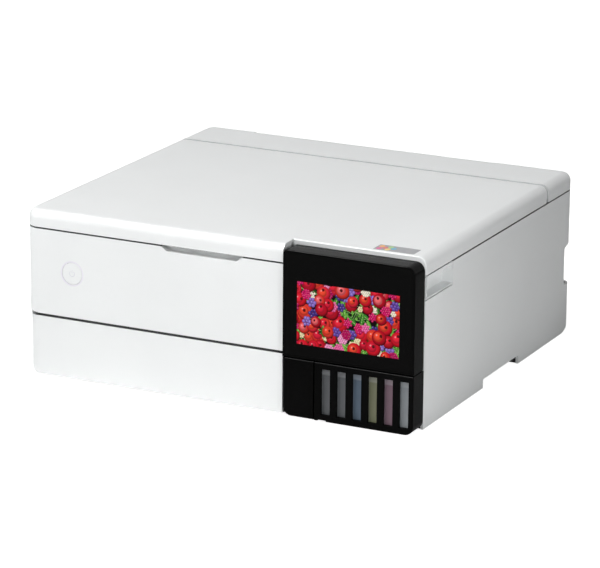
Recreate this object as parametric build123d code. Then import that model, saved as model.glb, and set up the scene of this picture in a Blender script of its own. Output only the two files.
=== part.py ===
from build123d import *
import os
from math import asin, atan2, cos, degrees, hypot, pi, radians, sin

# An A4 photo all-in-one inkjet printer with built-in ink tanks.
# Millimetres, +Z up, front towards -Y, origin on the floor at the middle of the overall box.

# ---------------------------------------------------------------- overall casing
width = 403.0
body_depth = 371.0  # white front face to white rear face
height = 162.0
panel_proud = 3.0  # the black module stands this far out of the white front
rear_proud = 3.0  # the duplex unit stands this far out of the back
foot_height = 1.5
skirt_lift = 1.0  # floor to the lower edge of the side covers
wall = 2.5  # casing wall
seam = 1.0  # visible gap round the document cover and between black pieces
joint_gap = 0.4  # tight gap between fixed casing pieces
slide_gap = 0.3  # gap beside sliding pieces
shaft_clearance = 0.05  # radial, for every turning or sliding shaft
front_corner_radius = 14.7
rear_corner_radius = 11.0
heel_radius = 22.0  # lower rear corner of the casing, seen from the side
heel_inset = 2.9  # white rear face to the black heel under it
heel_wall = 2.5
rear_panel_bottom = 12.0

left = -width / 2
right = width / 2
front = -(body_depth + panel_proud + rear_proud) / 2 + panel_proud
rear = front + body_depth
inner_left = left + wall
inner_right = right - wall
inner_front = front + wall
inner_rear = rear - wall

# ---------------------------------------------------------------- document cover
cover_height = 17.4  # top face down to the middle of its seam
cover_edge_radius = 8.5
cover_skin = 2.2
cover_cut_radius = 1.0  # top edge of the cut round the black module
rear_strip_depth = 64.5  # fixed strip behind the cover
cover_rear_gap = 1.8  # room for the cover's rear edge as it turns
cover_rear_radius = 3.0
corner_relief = 4.0  # slot at the inner corner of that cut, below the skin
cover_relief = 4.0  # lower rear corner taken off the cover, for its swing
hinge_inset = 6.0  # hinge axis forward of the cover's rear face
hinge_drop = 6.3  # hinge axis below the cover's top face
mat_thickness = 5.0
mat_margin = 8.0
mat_overhang = 0.3  # the mat reaches this far below the cover's edge
mat_corner_radius = 4.0
rib_pitch = 60.0
rib_thickness = 1.6
liner_thickness = 1.2
rib_inset = 4.0
label_right_inset = 14.5  # casing's right face to the label's recess
label_width = 40.5
label_length = 17.0
label_behind_cut = 4.0
label_depth = 0.2
label_corner_radius = 1.5

cover_seam = height - cover_height
cover_bottom = cover_seam + seam / 2
casing_top = cover_seam - seam / 2
strip_front = rear - rear_strip_depth
cover_rear = strip_front - cover_rear_gap
hinge_y = cover_rear - hinge_inset
hinge_z = height - hinge_drop

# ---------------------------------------------------------------- cover and scanner hinge
hinge_pin_radius = 1.6
hinge_ear_radius = 2.8
hinge_web = 5.0  # front-to-back width of posts, arms and ears
hinge_leaf = 4.0  # thickness of each leaf along the pin
hinge_leaf_gap = 1.2
hinge_side_gap = 2.8  # casing wall to the outermost leaf
hinge_foot = 18.0  # front-to-back length of the foot under each post
hinge_foot_thickness = 3.0

hinge_outer = inner_right - hinge_side_gap
leaf_pitch = hinge_leaf + hinge_leaf_gap

# ---------------------------------------------------------------- scanner unit
tub_side_gap = 13.0  # casing wall to the side of the tub
tub_front_inset = 27.5  # white front face to the tub
tub_depth = 32.0  # below the casing's top edge
tub_wall = 2.2
flange_thickness = 3.0
flange_gap = 1.5
glass_left_inset = 12.0  # casing's left face to the glass
glass_right_inset = 60.5  # side of the tub to the glass
glass_front_inset = 36.0
glass_back_inset = 38.7  # back of the tub to the glass
glass_sink = 0.2
glass_thickness = 3.0
glass_clearance = 0.2
glass_ledge = 4.0
grip_length = 56.5
grip_inset = 22.6  # white front face to the grip's front end
grip_height = 21.2
grip_pocket_height = 16.0
grip_frame = 1.2
grip_pocket_depth = 10.0
grip_seam = 1.3  # gap under the grip
grip_swing_gap = 2.6  # the grip swings forward as the scanner unit rises
scan_rod_radius = 3.0
scan_rod_height = 9.0  # above the tub's floor, to the rod's axis
scan_bar_width = 22.0
scan_bar_thickness = 12.0
scan_bar_gap = 1.2  # below the glass
scan_bar_inset = 2.0
scan_slit_width = 6.0
scan_slit_inset = 8.0
scan_slit_depth = 1.0
scan_slider_length = 16.0
scan_slider_lip = 1.5

tub_half = inner_right - tub_side_gap
tub_bottom = casing_top - tub_depth
tub_front = front + tub_front_inset
tub_back = cover_rear
flange_bottom = casing_top - flange_thickness
glass_left = left + glass_left_inset
glass_right = tub_half - glass_right_inset
glass_front = front + glass_front_inset
glass_back = tub_back - glass_back_inset
glass_top = casing_top - glass_sink

# ---------------------------------------------------------------- heights of the mechanism, from the top
frame_headroom = 6.1
shaft_drop = 14.0  # frame's top edge to the guide shaft
belt_drop = 10.0
carriage_drop = 2.0
paper_drop = 26.0  # guide shaft to the paper
carriage_lift = 4.0
platen_sink = 1.5
platen_height = 8.5
deck_drop = 9.0  # paper to the underside of the output deck
rail_drop = 9.0  # output deck to the top of the cassette's side walls
slot_rise = 3.4  # output deck to the middle of the tray slot
split_drop = 2.9  # middle of the tray slot to the split of the black module

frame_top = tub_bottom - frame_headroom
guide_shaft_z = frame_top - shaft_drop
belt_height = frame_top - belt_drop
carriage_top = frame_top - carriage_drop
paper_plane = guide_shaft_z - paper_drop
carriage_bottom = paper_plane + carriage_lift
platen_top = paper_plane - platen_sink
platen_bottom = platen_top - platen_height
deck_height = paper_plane - deck_drop
rail_height = deck_height - rail_drop

# ---------------------------------------------------------------- front
tray_slot_height = 2.5
drawer_bottom = 2.3
drawer_bottom_radius = 12.0
drawer_side_inset = 1.2
notch_top_width = 87.0
notch_bottom_width = 72.0
notch_drop = 5.1  # below the cover's seam
notch_depth = 7.0
notch_wall = 1.2
notch_left = 144.0  # casing's left face to the notch
button_radius = 10.5
button_ring_width = 1.5
button_from_left = 51.5
button_drop = 39.6  # below the casing's top edge
button_gap = 0.2
button_travel = 1.0
button_depth = 6.0
button_edge_radius = 0.4
switch_margin = 6.0
switch_post = 3.0
board_thickness = 1.6

slot_middle = deck_height + slot_rise
slot_bottom = slot_middle - tray_slot_height / 2
slot_top = slot_middle + tray_slot_height / 2
button_height = casing_top - button_drop
button_x = left + button_from_left
switch_front = front + 2 * button_depth + button_travel + joint_gap

# ---------------------------------------------------------------- black front module
module_width = 131.0
module_depth = 22.2  # front face to the back of the tilting panel
module_top_drop = 3.5  # below the top of the document cover
module_lift = 1.3  # floor to the tank cover's lower edge
module_corner_radius = 8.5
module_left_radius = 5.0  # top left corner of the tilting panel
module_edge_radius = 1.2
module_wall = 2.0
panel_pivot_inset = 2.5  # tilt axis in front of the panel's back
panel_pivot_drop = 4.5  # tilt axis below the panel's top
panel_pin_radius = 1.1
panel_ear_radius = 2.4
panel_ear_thickness = 4.0
panel_ear_inset = 14.0
panel_lug = 3.0
panel_back_radius = 1.5
panel_back_gap = 1.8
mount_wall = 2.4
mount_gap = 0.5
mount_ear_height = 10.1
glass_inset = 2.2  # touch glass inside the panel's edge
touch_glass_thickness = 1.4
touch_glass_sink = 0.1
glass_backing = 2.0
screen_width = 101.6
screen_height = 58.8
screen_left = 14.8  # module's left edge to the picture
screen_lift = 13.9  # panel's lower edge to the picture
screen_thickness = 3.0
screen_frame = 2.0
screen_board_inset = 8.0

module_split = slot_middle - split_drop
module_left = right - module_width
module_front = front - panel_proud
module_back = module_front + module_depth
module_top = height - module_top_drop
panel_bottom = module_split + seam / 2
tank_cover_top = module_split - seam / 2
panel_pivot_y = module_back - panel_pivot_inset
panel_pivot_z = module_top - panel_pivot_drop
white_front_right = module_left - seam
mount_front = module_back + mount_gap
mount_top = flange_bottom - seam
mount_ear_bottom = mount_top - mount_ear_height
screen_x0 = module_left + screen_left
screen_x1 = screen_x0 + screen_width
screen_bottom = panel_bottom + screen_lift
screen_top = screen_bottom + screen_height
ear_places = (module_left + panel_ear_inset, right - panel_ear_inset)

# ---------------------------------------------------------------- card door, card reader and tanks
door_width = 32.0
door_thickness = 3.5
door_toe_radius = 3.0
door_pivot_height = 6.8
door_pivot_inset = 5.5
door_pin_radius = 1.2
door_eye_radius = 1.9
door_lug = 4.0
door_lug_inset = 8.0
reader_depth = 38.0
reader_arm = 3.0
reader_stand = 5.0
card_slot_width = 3.2
card_slot_bottom = 24.0
card_slot_depth = 22.0
stick_slot_width = 13.2
stick_slot_bottom = 12.0
stick_slot_height = 6.0
stick_slot_depth = 14.0
tank_count = 6
tank_pitch = 15.6
first_window = 39.2  # module's left edge to the first window
window_width = 9.3
window_bottom = 7.5
window_drop = 5.7  # tank cover's top edge to the windows
ink_drop = 6.3  # top of the windows to the ink's surface
tank_gap = 2.6
tank_lift = 3.0  # base floor to the tanks
tank_wall = 1.2
tank_depth = 84.0
tank_top_drop = 56.1  # below the casing's top edge
tank_neck_radius = 4.2
tank_neck_height = 8.0
tank_neck_inset = 24.0
cap_radius = 5.6
cap_height = 10.0
window_frame = 3.0  # tank cover's front face to the tanks
toe_notch_width = 9.0  # notch in the tank cover's lower edge
toe_notch_height = 1.4
toe_notch_inset = 3.0

door_right = module_left + door_width
tank_cover_left = door_right + seam / 2
door_pivot_y = module_front + door_pivot_inset
door_lug_left = module_left + door_lug_inset
door_lug_right = door_right - door_lug_inset - seam / 2 - door_lug
window_top = tank_cover_top - window_drop
ink_level = window_top - ink_drop
tank_top = casing_top - tank_top_drop

# ---------------------------------------------------------------- base
floor_thickness = 3.0
base_wall = 2.5
carry_front = 156.0  # white front face to the carry recess
carry_length = 84.0
carry_height = 8.5
carry_depth_right = 20.0
carry_depth_left = 6.5
foot_radius = 8.0
foot_inset = 30.0
foot_edge_radius = 0.4
partition_gap = 0.5
partition_back_gap = 20.0
notch_liner_wall = 2.0

floor_top = foot_height + floor_thickness
partition_right = white_front_right - partition_gap
partition_left = partition_right - base_wall
base_front = module_back + seam
carry_y0 = front + carry_front
carry_y1 = carry_y0 + carry_length
carry_roof = carry_height + skirt_lift

# ---------------------------------------------------------------- rear paper support
support_left = 57.0  # casing's left face to the support
support_right = 82.0  # casing's right face to the support
support_cap_depth = 11.2
support_cap_radius = 10.5
support_thickness = 4.0
support_length = 70.0  # top face of the printer to the support's lower edge
extension_width = 60.0
extension_thickness = 1.6
extension_skin = 1.0  # support wall in front of its pocket
extension_sink = 2.6
rear_slot_wall = 2.0

support_x0 = left + support_left
support_x1 = right - support_right
support_middle = (support_x0 + support_x1) / 2
support_front = rear - support_cap_depth
support_y1 = inner_rear - slide_gap
support_y0 = support_y1 - support_thickness
support_bottom = height - support_length
slot_y0 = support_front - joint_gap

# ---------------------------------------------------------------- duplex unit and maintenance box
duplex_side = 4.0  # wider than the paper on each side
duplex_bottom = 15.0
duplex_depth = 53.0
duplex_wall = 3.0
duplex_edge_radius = 1.5
turn_radius = 22.0
duplex_grip_width = 90.0
duplex_grip_height = 16.0
duplex_grip_drop = 10.0
duplex_grip_depth = 7.0
box_left_inset = 137.5  # casing's right face to the maintenance cover
box_right_inset = 19.5
box_bottom = 16.0
box_top_drop = 10.0  # below the top of the duplex unit
box_depth = 62.0
box_edge_radius = 0.8
finger_notch_bottom = 50.0
finger_notch_rise = 6.0  # above the top of the duplex unit
finger_notch_slope = 7.0
finger_notch_depth = 19.0

duplex_top = tank_top
duplex_front = rear - duplex_depth
box_left = right - box_left_inset
box_right = right - box_right_inset
box_top = duplex_top - box_top_drop
box_front = rear - box_depth
finger_notch_top = duplex_top + finger_notch_rise

# ---------------------------------------------------------------- print mechanism, from the frame's back
frame_sheet = 1.5
frame_back_inset = 67.5  # white rear face to the frame's back sheet
frame_length = 163.5
frame_right_inset = 22.5
frame_window_side = 7.0
frame_window_lift = 6.0
frame_window_height = 28.0
guide_shaft_radius = 4.0
guide_shaft_inset = 68.0
carriage_width = 70.0
carriage_inset = 56.0
carriage_length = 70.0
carriage_parking = 6.5  # right side of the parked carriage to the frame
carriage_edge_radius = 2.0
carriage_wall = 3.0
carriage_rib = 1.2
carriage_pocket = 12.0
carriage_boss_wall = 5.0
clamp_width = 18.0
head_height = 2.8
head_inset = 10.0
head_front_inset = 8.0
head_back_gap = 8.0
nozzle_inset = 5.0
nozzle_width = 1.6
nozzle_depth = 0.5
feed_roller_inset = 44.0
feed_roller_radius = 6.0
feed_shaft_radius = 3.0
eject_roller_inset = 138.0
eject_roller_radius = 5.0
eject_shaft_radius = 2.5
eject_band = 14.0
eject_pitch = 45.0
eject_start = 20.0
eject_count = 6
roller_left_gap = 4.0
roller_right_reach = 22.5  # beyond the white front's right end
shaft_stub = 4.0
gear_module = 1.0
gear_width = 5.0
feed_teeth = 40
eject_teeth = 40
pinion_teeth = 16
pinion_direction = 40.0  # degrees from +Y towards +Z
pinion_bore_radius = 1.0
pinion_hub_radius = 2.5
idler_bore = 3.0
feed_motor_radius = 13.0
feed_motor_length = 28.0
motor_shaft = 8.0
motor_edge_radius = 0.8
platen_skin = 2.0
platen_rib_start = 8.0
platen_rib_height = 1.0
platen_rib_pitch = 20.0
platen_rib_thickness = 1.5
belt_inset = 48.0
belt_width = 5.0
belt_thickness = 1.2
pulley_radius = 6.0
pulley_bore_radius = 1.5
pulley_rim = 0.8
idler_from_roller = 8.0
carriage_motor_radius = 12.5
cap_station_rim = 2.0
cup_depth = 4.0
station_leg = 4.0
station_back_gap = 14.0
bar_depth = 10.0
bar_thickness = 4.0
bracket_height = 20.0
star_wheel_radius = 4.0
star_wheel_width = 1.0
pinch_radius = 3.0
pinch_nip = 0.1
pinch_start = 44.0
pinch_pitch = 60.0
pinch_length = 30.0
pinch_arm = 6.0
pinch_count = 4
arm_pivot_inset = 78.0
arm_pivot_drop = 6.5  # below the output deck
arm_pin_radius = 2.0
arm_width = 10.0
arm_thickness = 7.0
arm_boss = 25.0
arm_lug = 4.0
arm_lug_length = 10.0
pickup_inset = 33.0
pickup_radius = 9.0
pickup_width = 6.0
pickup_clearance = 0.4
pickup_half = 12.0

frame_back_y = rear - frame_back_inset
frame_front_y = frame_back_y - frame_length
frame_right_x = inner_right - frame_right_inset
guide_shaft_y = frame_back_y - guide_shaft_inset
belt_y = frame_back_y - belt_inset
feed_roller_y = frame_back_y - feed_roller_inset
eject_roller_y = frame_back_y - eject_roller_inset
carriage_back = frame_back_y - carriage_inset
carriage_front = carriage_back - carriage_length
platen_front = carriage_front
platen_back = carriage_back
arm_pivot_y = frame_back_y - arm_pivot_inset
arm_pivot_z = deck_height - arm_pivot_drop
pickup_y = frame_back_y - pickup_inset
feed_axis_z = paper_plane - feed_roller_radius
eject_axis_z = paper_plane - eject_roller_radius
carriage_home = frame_right_x - carriage_parking
carriage_left = carriage_home - carriage_width
carriage_middle = carriage_home - carriage_width / 2
gear_left = inner_left + 1.0
gear_right = gear_left + gear_width

# ---------------------------------------------------------------- paper cassette
cassette_left_gap = 9.5  # inside the casing
cassette_right_gap = 5.0
cassette_back_gap = 5.5  # in front of the duplex unit
cassette_wall = 2.0
cassette_top_gap = 4.0  # below the top of the base's side walls
cassette_back_height = 6.0
cassette_corner_radius = 5.0
cassette_floor_gap = 0.5
rack_thickness = 2.4
rack_width = 6.0
rack_gap = 0.3
rack_overrun = 5.0
guide_room = 18.5  # cassette's side wall to the widest paper
guide_thickness = 2.0
guide_length = 90.0
guide_neck = 10.0
guide_foot_length = 5.0
guide_drop = 8.0  # cassette's top edge to the guides' top
guide_travel = 50.0
guide_pinion_teeth = 20
guide_pinion_hub = 3.0
guide_pinion_inset = 118.0
plate_thickness = 1.2
plate_margin = 1.0
plate_slot_side = 0.6
plate_rail = 3.0
end_guide_width = 60.0
end_guide_travel = 84.0
end_guide_room = 8.0
tooth_addendum = 0.85  # teeth are straight-flanked, and thinned for backlash
tooth_dedendum = 1.2
tooth_root_share = 0.31
tooth_tip_share = 0.11

cassette_left = inner_left + cassette_left_gap
cassette_right = partition_left - cassette_right_gap
cassette_bottom = floor_top + cassette_floor_gap
cassette_floor = cassette_bottom + cassette_wall
cassette_top = rail_height - cassette_top_gap
cassette_back = duplex_front - cassette_back_gap
cassette_inner_left = cassette_left + cassette_wall
cassette_inner_right = cassette_right - cassette_wall
rack_bottom = cassette_floor + rack_gap
rack_top = rack_bottom + rack_thickness
plate_bottom = rack_top + rack_gap
plate_top = plate_bottom + plate_thickness
guide_top = cassette_top - guide_drop
paper_middle = (cassette_left + cassette_right) / 2
paper_width = cassette_inner_right - cassette_inner_left - 2 * guide_room
guide_pinion_y = inner_front + guide_pinion_inset
end_guide_back = inner_front + cassette_wall + end_guide_room
pinion_radius = gear_module * guide_pinion_teeth / 2
rack_root = pinion_radius + tooth_dedendum * gear_module
rack_tip = pinion_radius - tooth_addendum * gear_module
pickup_z = plate_top + pickup_clearance + pickup_radius
arm_lugs = (paper_middle - arm_boss / 2 - arm_lug - slide_gap, paper_middle + arm_boss / 2 + slide_gap)
duplex_left = paper_middle - paper_width / 2 - duplex_side
duplex_right = paper_middle + paper_width / 2 + duplex_side

left_wall_x1 = cassette_left - partition_gap
left_wall_x0 = left_wall_x1 - base_wall
right_wall_x0 = frame_right_x - partition_gap
right_wall_x1 = right_wall_x0 + base_wall
frame_left_x = left_wall_x1 - frame_sheet
frame_inner_x = frame_left_x + frame_sheet
roller_left = frame_inner_x + roller_left_gap
roller_right = white_front_right + roller_right_reach
drive_pulley_x = carriage_home - pulley_radius
idler_pulley_x = roller_left + idler_from_roller
motor_front = belt_y + belt_width / 2 + slide_gap + 2 * seam

# ---------------------------------------------------------------- output tray
leaf_thickness = 1.4
leaf_lift = 0.3
leaf_side = 24.0
leaf_front_inset = 1.0
leaf_back_gap = 12.5  # in front of the eject roller's axis
leaf_margin = 2.0
deck_thickness = 2.3
deck_inset = 26.0

leaf_bottom = deck_height + deck_thickness + leaf_lift
leaf_top = leaf_bottom + leaf_thickness
leaf_x0 = left_wall_x1 + leaf_margin
leaf_x1 = partition_left - leaf_margin
leaf_y0 = front + leaf_front_inset
leaf_y1 = eject_roller_y - leaf_back_gap

# ---------------------------------------------------------------- electrics
supply_inset = 90.0
supply_length = 155.0
supply_skin = 1.5
supply_side_gap = 5.0
supply_slot_pitch = 8.0
supply_slot_width = 3.0
supply_slot_side = 20.0
supply_slot_count = 8
main_board_inset = 105.0
main_board_length = 180.0
main_board_bottom = 15.0
main_board_gap = 3.5
main_board_drop = 12.1  # below the scanner tub
board_screw_inset = 6.0
board_post_radius = 2.5
board_post_inset = 5.0
socket_left = 36.5  # casing's left face to the mains inlet
socket_right = 51.5  # casing's right face to the data sockets
socket_drop = 35.1
socket_half = 11.0
socket_tall = 8.0
socket_depth = 20.0
inlet_half = 8.5
inlet_tall = 4.5
inlet_depth = 12.0
inlet_pin_radius = 1.2
inlet_pin_offset = 4.3
network_width = 7.5
network_depth = 14.0
network_tall = 5.0
data_width = 7.0
data_depth = 10.0
data_tall = 3.5
screw_head_radius = 3.5
screw_head_gap = 0.2
screw_sink = 1.4
screw_radius = 1.5
screw_length = 8.0
screw_slot = 4.0
screw_slot_width = 0.8
screw_drop = 10.1
screw_low = 24.0
screw_left = 50.0
screw_right = 70.0
screw_side = 20.0

supply_top = cassette_top
main_board_top = tub_bottom - main_board_drop
socket_height = casing_top - socket_drop


# ---------------------------------------------------------------- helpers
def block(x0, x1, y0, y1, z0, z1):
    return Pos((x0 + x1) / 2, (y0 + y1) / 2, (z0 + z1) / 2) * Box(x1 - x0, y1 - y0, z1 - z0)


def rod_x(radius, x0, x1, y, z):
    return Pos((x0 + x1) / 2, y, z) * Rot(0, 90, 0) * Cylinder(radius, x1 - x0)


def rod_y(radius, x, y0, y1, z):
    return Pos(x, (y0 + y1) / 2, z) * Rot(90, 0, 0) * Cylinder(radius, y1 - y0)


def rod_z(radius, x, y, z0, z1):
    return Pos(x, y, (z0 + z1) / 2) * Cylinder(radius, z1 - z0)


# Rectangle in plan with its own radius at each corner.
def plan(x0, x1, y0, y1, front_left=0, front_right=0, rear_right=0, rear_left=0):
    face = Pos((x0 + x1) / 2, (y0 + y1) / 2) * Rectangle(x1 - x0, y1 - y0)
    corners = ((x0, y0, front_left), (x1, y0, front_right), (x1, y1, rear_right), (x0, y1, rear_left))
    for x, y, radius in corners:
        if radius > 0:
            corner = min(face.vertices(), key=lambda v: abs(v.X - x) + abs(v.Y - y))
            face = fillet(corner, radius)
    return face


def upright(face, z0, z1):
    return extrude(Pos(0, 0, z0) * face, z1 - z0)


# Slab seen from the front: a plan whose second direction is height.
def front_slab(face, y0, y1):
    return Pos(0, y1, 0) * Rot(90, 0, 0) * extrude(face, y1 - y0)


def edges_where(solid, test):
    return [edge for edge in solid.edges() if test(edge.center())]


def both_sides(shape):
    return shape + mirror(shape, about=Plane.YZ)


# Separate solids that share one node.
def group(*shapes):
    return Compound(children=[solid for shape in shapes for solid in shape.solids()])


# Outline of a spur gear.
def gear_face(teeth, phase, bore):
    pitch_radius = gear_module * teeth / 2
    root = pitch_radius - tooth_dedendum * gear_module
    tip = pitch_radius + tooth_addendum * gear_module
    half_root = tooth_root_share * pi * gear_module / root
    half_tip = tooth_tip_share * pi * gear_module / tip
    points = []
    for tooth in range(teeth):
        middle = phase + 2 * pi * tooth / teeth
        for radius, turn in ((root, -half_root), (tip, -half_tip), (tip, half_tip), (root, half_root)):
            points.append((radius * cos(middle + turn), radius * sin(middle + turn)))
    face = make_face(Polyline(*points, close=True))
    return face - Circle(bore) if bore > 0 else face


# Gear on an axis along X: the outline's two directions become Y and Z.
def gear_x(teeth, phase, x0, x1, y, z, bore):
    return Pos(x0, y, z) * Rot(0, 90, 90) * extrude(gear_face(teeth, phase, bore), x1 - x0)


# Phase of a gear that meshes with another whose phase is known; direction runs from first to second.
def mesh_phase(first_teeth, first_phase, second_teeth, direction):
    return direction + pi + (pi - first_teeth * (first_phase - direction)) / second_teeth


# ---------------------------------------------------------------- casing ring
def casing_ring():
    outer = plan(left, right, front, rear, front_corner_radius, 0, rear_corner_radius, rear_corner_radius)
    inner = plan(
        inner_left,
        inner_right,
        inner_front,
        inner_rear,
        front_corner_radius - wall,
        0,
        rear_corner_radius - wall,
        rear_corner_radius - wall,
    )
    return upright(outer, skirt_lift, casing_top) - upright(inner, skirt_lift, casing_top)


# Solid with a side profile that is square but for its rounded lower rear corner.
def heeled(rear_y, lower_z, radius):
    outline = plan(front - 1, rear_y, lower_z, height, 0, radius)
    return Pos(left - 1, 0, 0) * Rot(0, 90, 90) * extrude(outline, width + 2)


ring = casing_ring()
casing_heel = heeled(rear, skirt_lift, heel_radius)
side_front = front + front_corner_radius + joint_gap
back_left = left + rear_corner_radius + joint_gap
back_right = right - rear_corner_radius - joint_gap
grip_front = front + grip_inset
grip_back = grip_front + grip_length
grip_bottom = casing_top - grip_height


def carry_recess(side_x0, side_x1):
    return block(side_x0, side_x1, carry_y0, carry_y1, 0, carry_roof)


# Hole in a side cover for the scanner unit's grip.
def grip_hole(side_x0, side_x1):
    return block(
        side_x0,
        side_x1,
        grip_front - grip_swing_gap,
        grip_back + seam,
        grip_bottom - grip_seam,
        casing_top + 1,
    )


# Finger notch in the right rear corner, its upper end sloping.
def finger_notch():
    y0 = rear - finger_notch_depth
    profile = Polyline(
        (y0, finger_notch_bottom),
        (rear + 1, finger_notch_bottom),
        (rear + 1, finger_notch_top),
        (y0, finger_notch_top - finger_notch_slope),
        close=True,
    )
    x0 = box_right + base_wall
    return Pos(x0, 0, 0) * Rot(0, 90, 90) * extrude(make_face(profile), right - x0 + 1)


def left_side_cover():
    piece = ring & block(left, left + rear_corner_radius, side_front, rear, skirt_lift, casing_top)
    piece -= grip_hole(left - 1, inner_left + 1)
    piece -= carry_recess(left - 1, inner_left + 1)
    return piece & casing_heel


def right_side_cover():
    start = module_back + seam / 2
    piece = ring & block(right - rear_corner_radius, right, start, rear, skirt_lift, casing_top)
    piece -= grip_hole(inner_right - 1, right + 1)
    piece -= carry_recess(inner_right - 1, right + 1)
    return (piece - finger_notch()) & casing_heel


# Finger notch under the cover's seam, wider at the top than at its lower end.
def cover_notch(y0, y1, extra=0.0):
    middle = left + notch_left + notch_top_width / 2
    top = casing_top + 1
    bottom = cover_seam - notch_drop - extra
    profile = Polyline(
        (middle - notch_top_width / 2 - extra, top),
        (middle + notch_top_width / 2 + extra, top),
        (middle + notch_bottom_width / 2 + extra, bottom),
        (middle - notch_bottom_width / 2 - extra, bottom),
        close=True,
    )
    return front_slab(make_face(profile), y0, y1)


def upper_front_panel():
    panel = ring & block(left, white_front_right, front, side_front - joint_gap, slot_top, casing_top)
    liner = cover_notch(inner_front, front + notch_depth + notch_wall, notch_wall)
    liner &= block(left, right, front, rear, 0, casing_top)
    panel = panel + liner - cover_notch(front - 1, front + notch_depth)
    ring_radius = button_radius + button_ring_width + button_gap
    return panel - rod_y(ring_radius, button_x, front - 1, inner_front + 1, button_height)


def power_light_ring():
    outer = button_radius + button_ring_width + button_gap
    ring_body = rod_y(outer, button_x, front, inner_front, button_height)
    return ring_body - rod_y(button_radius + button_gap, button_x, front - 1, rear, button_height)


# Cap with a dished face and a stem that reaches the switch board behind it.
def power_button():
    cap = rod_y(button_radius, button_x, front, front + button_depth, button_height)
    rim = edges_where(cap, lambda c: abs(c.Y - front) < 0.01)
    cap = fillet(rim, button_edge_radius)
    stem = rod_y(button_radius / 3, button_x, front + button_depth, front + 2 * button_depth, button_height)
    return cap + stem


# Switch board behind the button, on two posts.
def button_board():
    half = button_radius + switch_margin
    x0, x1 = button_x - half, button_x + half
    back = switch_front + board_thickness
    board = block(x0, x1, switch_front, back, button_height - half, button_height + half)
    post = switch_post / 2
    for x in (x0 + switch_post, x1 - switch_post):
        board += block(
            x - post,
            x + post,
            inner_front,
            switch_front,
            button_height - switch_post,
            button_height + switch_post,
        )
    return board


def rear_panel():
    piece = ring & block(back_left, back_right, inner_rear, rear, rear_panel_bottom, casing_top)
    duplex_hole = block(
        duplex_left - slide_gap,
        duplex_right + slide_gap,
        inner_rear - 1,
        rear + 1,
        duplex_bottom - slide_gap,
        duplex_top + slide_gap,
    )
    box_hole = block(
        box_left - slide_gap,
        box_right + slide_gap,
        inner_rear - 1,
        rear + 1,
        box_bottom - slide_gap,
        box_top + slide_gap,
    )
    piece = piece - duplex_hole - box_hole - finger_notch()
    for x in socket_places:
        piece -= block(
            x - socket_half,
            x + socket_half,
            inner_rear - 1,
            rear + 1,
            socket_height - socket_tall,
            socket_height + socket_tall,
        )
    for x, z in screw_places():
        piece -= rod_y(screw_head_radius + screw_head_gap, x, rear - screw_sink, rear + 1, z)
        piece -= rod_y(screw_radius, x, inner_rear - 1, rear, z)
    return piece


# ---------------------------------------------------------------- rear top strip and paper support
def rear_top_cover():
    outline = plan(left, right, strip_front, rear, 0, 0, rear_corner_radius, rear_corner_radius)
    shell = upright(outline, cover_bottom, height)
    outer_edges = edges_where(shell, lambda c: c.Z > height - 0.01 and c.Y > strip_front + 1)
    shell = fillet(outer_edges, cover_edge_radius)
    inner_radius = rear_corner_radius - wall
    inside = plan(inner_left, inner_right, strip_front + wall, inner_rear, 0, 0, inner_radius, inner_radius)
    roof = height - cover_skin
    hollow = upright(inside, cover_bottom - 1, roof)
    inner_edges = edges_where(hollow, lambda c: c.Z > roof - 0.01 and c.Y > strip_front + wall + 1)
    hollow = fillet(inner_edges, cover_edge_radius - wall)
    x0 = support_x0 - joint_gap
    x1 = support_x1 + joint_gap
    opening = block(x0, x1, slot_y0, rear + 1, cover_bottom - 1, height + 1)
    guide = block(x0, x1, slot_y0 - rear_slot_wall, slot_y0, support_bottom, roof)
    return shell - hollow - opening + guide


def paper_support():
    cap_bottom = cover_bottom + joint_gap
    plate = block(
        support_x0 + rear_slot_wall,
        support_x1 - rear_slot_wall,
        support_y0,
        support_y1,
        support_bottom,
        cap_bottom,
    )
    cap = block(support_x0, support_x1, support_front, rear, cap_bottom, height)
    cap_edges = edges_where(cap, lambda c: c.Z > height - 0.01 and c.Y > rear - 0.01)
    cap = fillet(cap_edges, support_cap_radius)
    pocket = block(
        support_middle - extension_width / 2 - slide_gap,
        support_middle + extension_width / 2 + slide_gap,
        support_y0 + extension_skin,
        support_y0 + extension_skin + extension_thickness + 2 * slide_gap,
        support_bottom + 3 * seam,
        height + 1,
    )
    return plate + cap - pocket


def support_extension():
    y0 = support_y0 + extension_skin + slide_gap
    return block(
        support_middle - extension_width / 2,
        support_middle + extension_width / 2,
        y0,
        y0 + extension_thickness,
        support_bottom + 4 * seam,
        height - extension_sink,
    )


# ---------------------------------------------------------------- scanner unit and cover hinge
def hinge_leaf_shape(x1, z0):
    x0 = x1 - hinge_leaf
    arm = block(x0, x1, hinge_y - hinge_web / 2, hinge_y + hinge_web / 2, z0, hinge_z)
    return arm + rod_x(hinge_ear_radius, x0, x1, hinge_y, hinge_z)


def hinge_posts():
    post = hinge_leaf_shape(hinge_outer, deck_height)
    x0 = hinge_outer - hinge_leaf
    y0, y1 = hinge_y - hinge_foot / 2, hinge_y + hinge_foot / 2
    post += block(x0, inner_right, y0, y1, deck_height, deck_height + hinge_foot_thickness)
    y0, y1 = hinge_y - hinge_web / 2, hinge_y + hinge_web / 2
    post += block(x0, inner_right, y0, y1, deck_height, main_board_top)
    return both_sides(post - rod_x(hinge_pin_radius, 0, right, hinge_y, hinge_z))


def hinge_pins():
    inner_end = hinge_outer - 3 * leaf_pitch + hinge_leaf_gap - 1
    return both_sides(rod_x(hinge_pin_radius, inner_end, hinge_outer, hinge_y, hinge_z))


# ---------------------------------------------------------------- document cover
def cover_cutout(extra=0.0):
    return block(
        module_left - seam - extra,
        right + 1,
        front - 1,
        module_back + panel_back_gap + extra,
        cover_bottom - 1,
        height + 1,
    )


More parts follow.
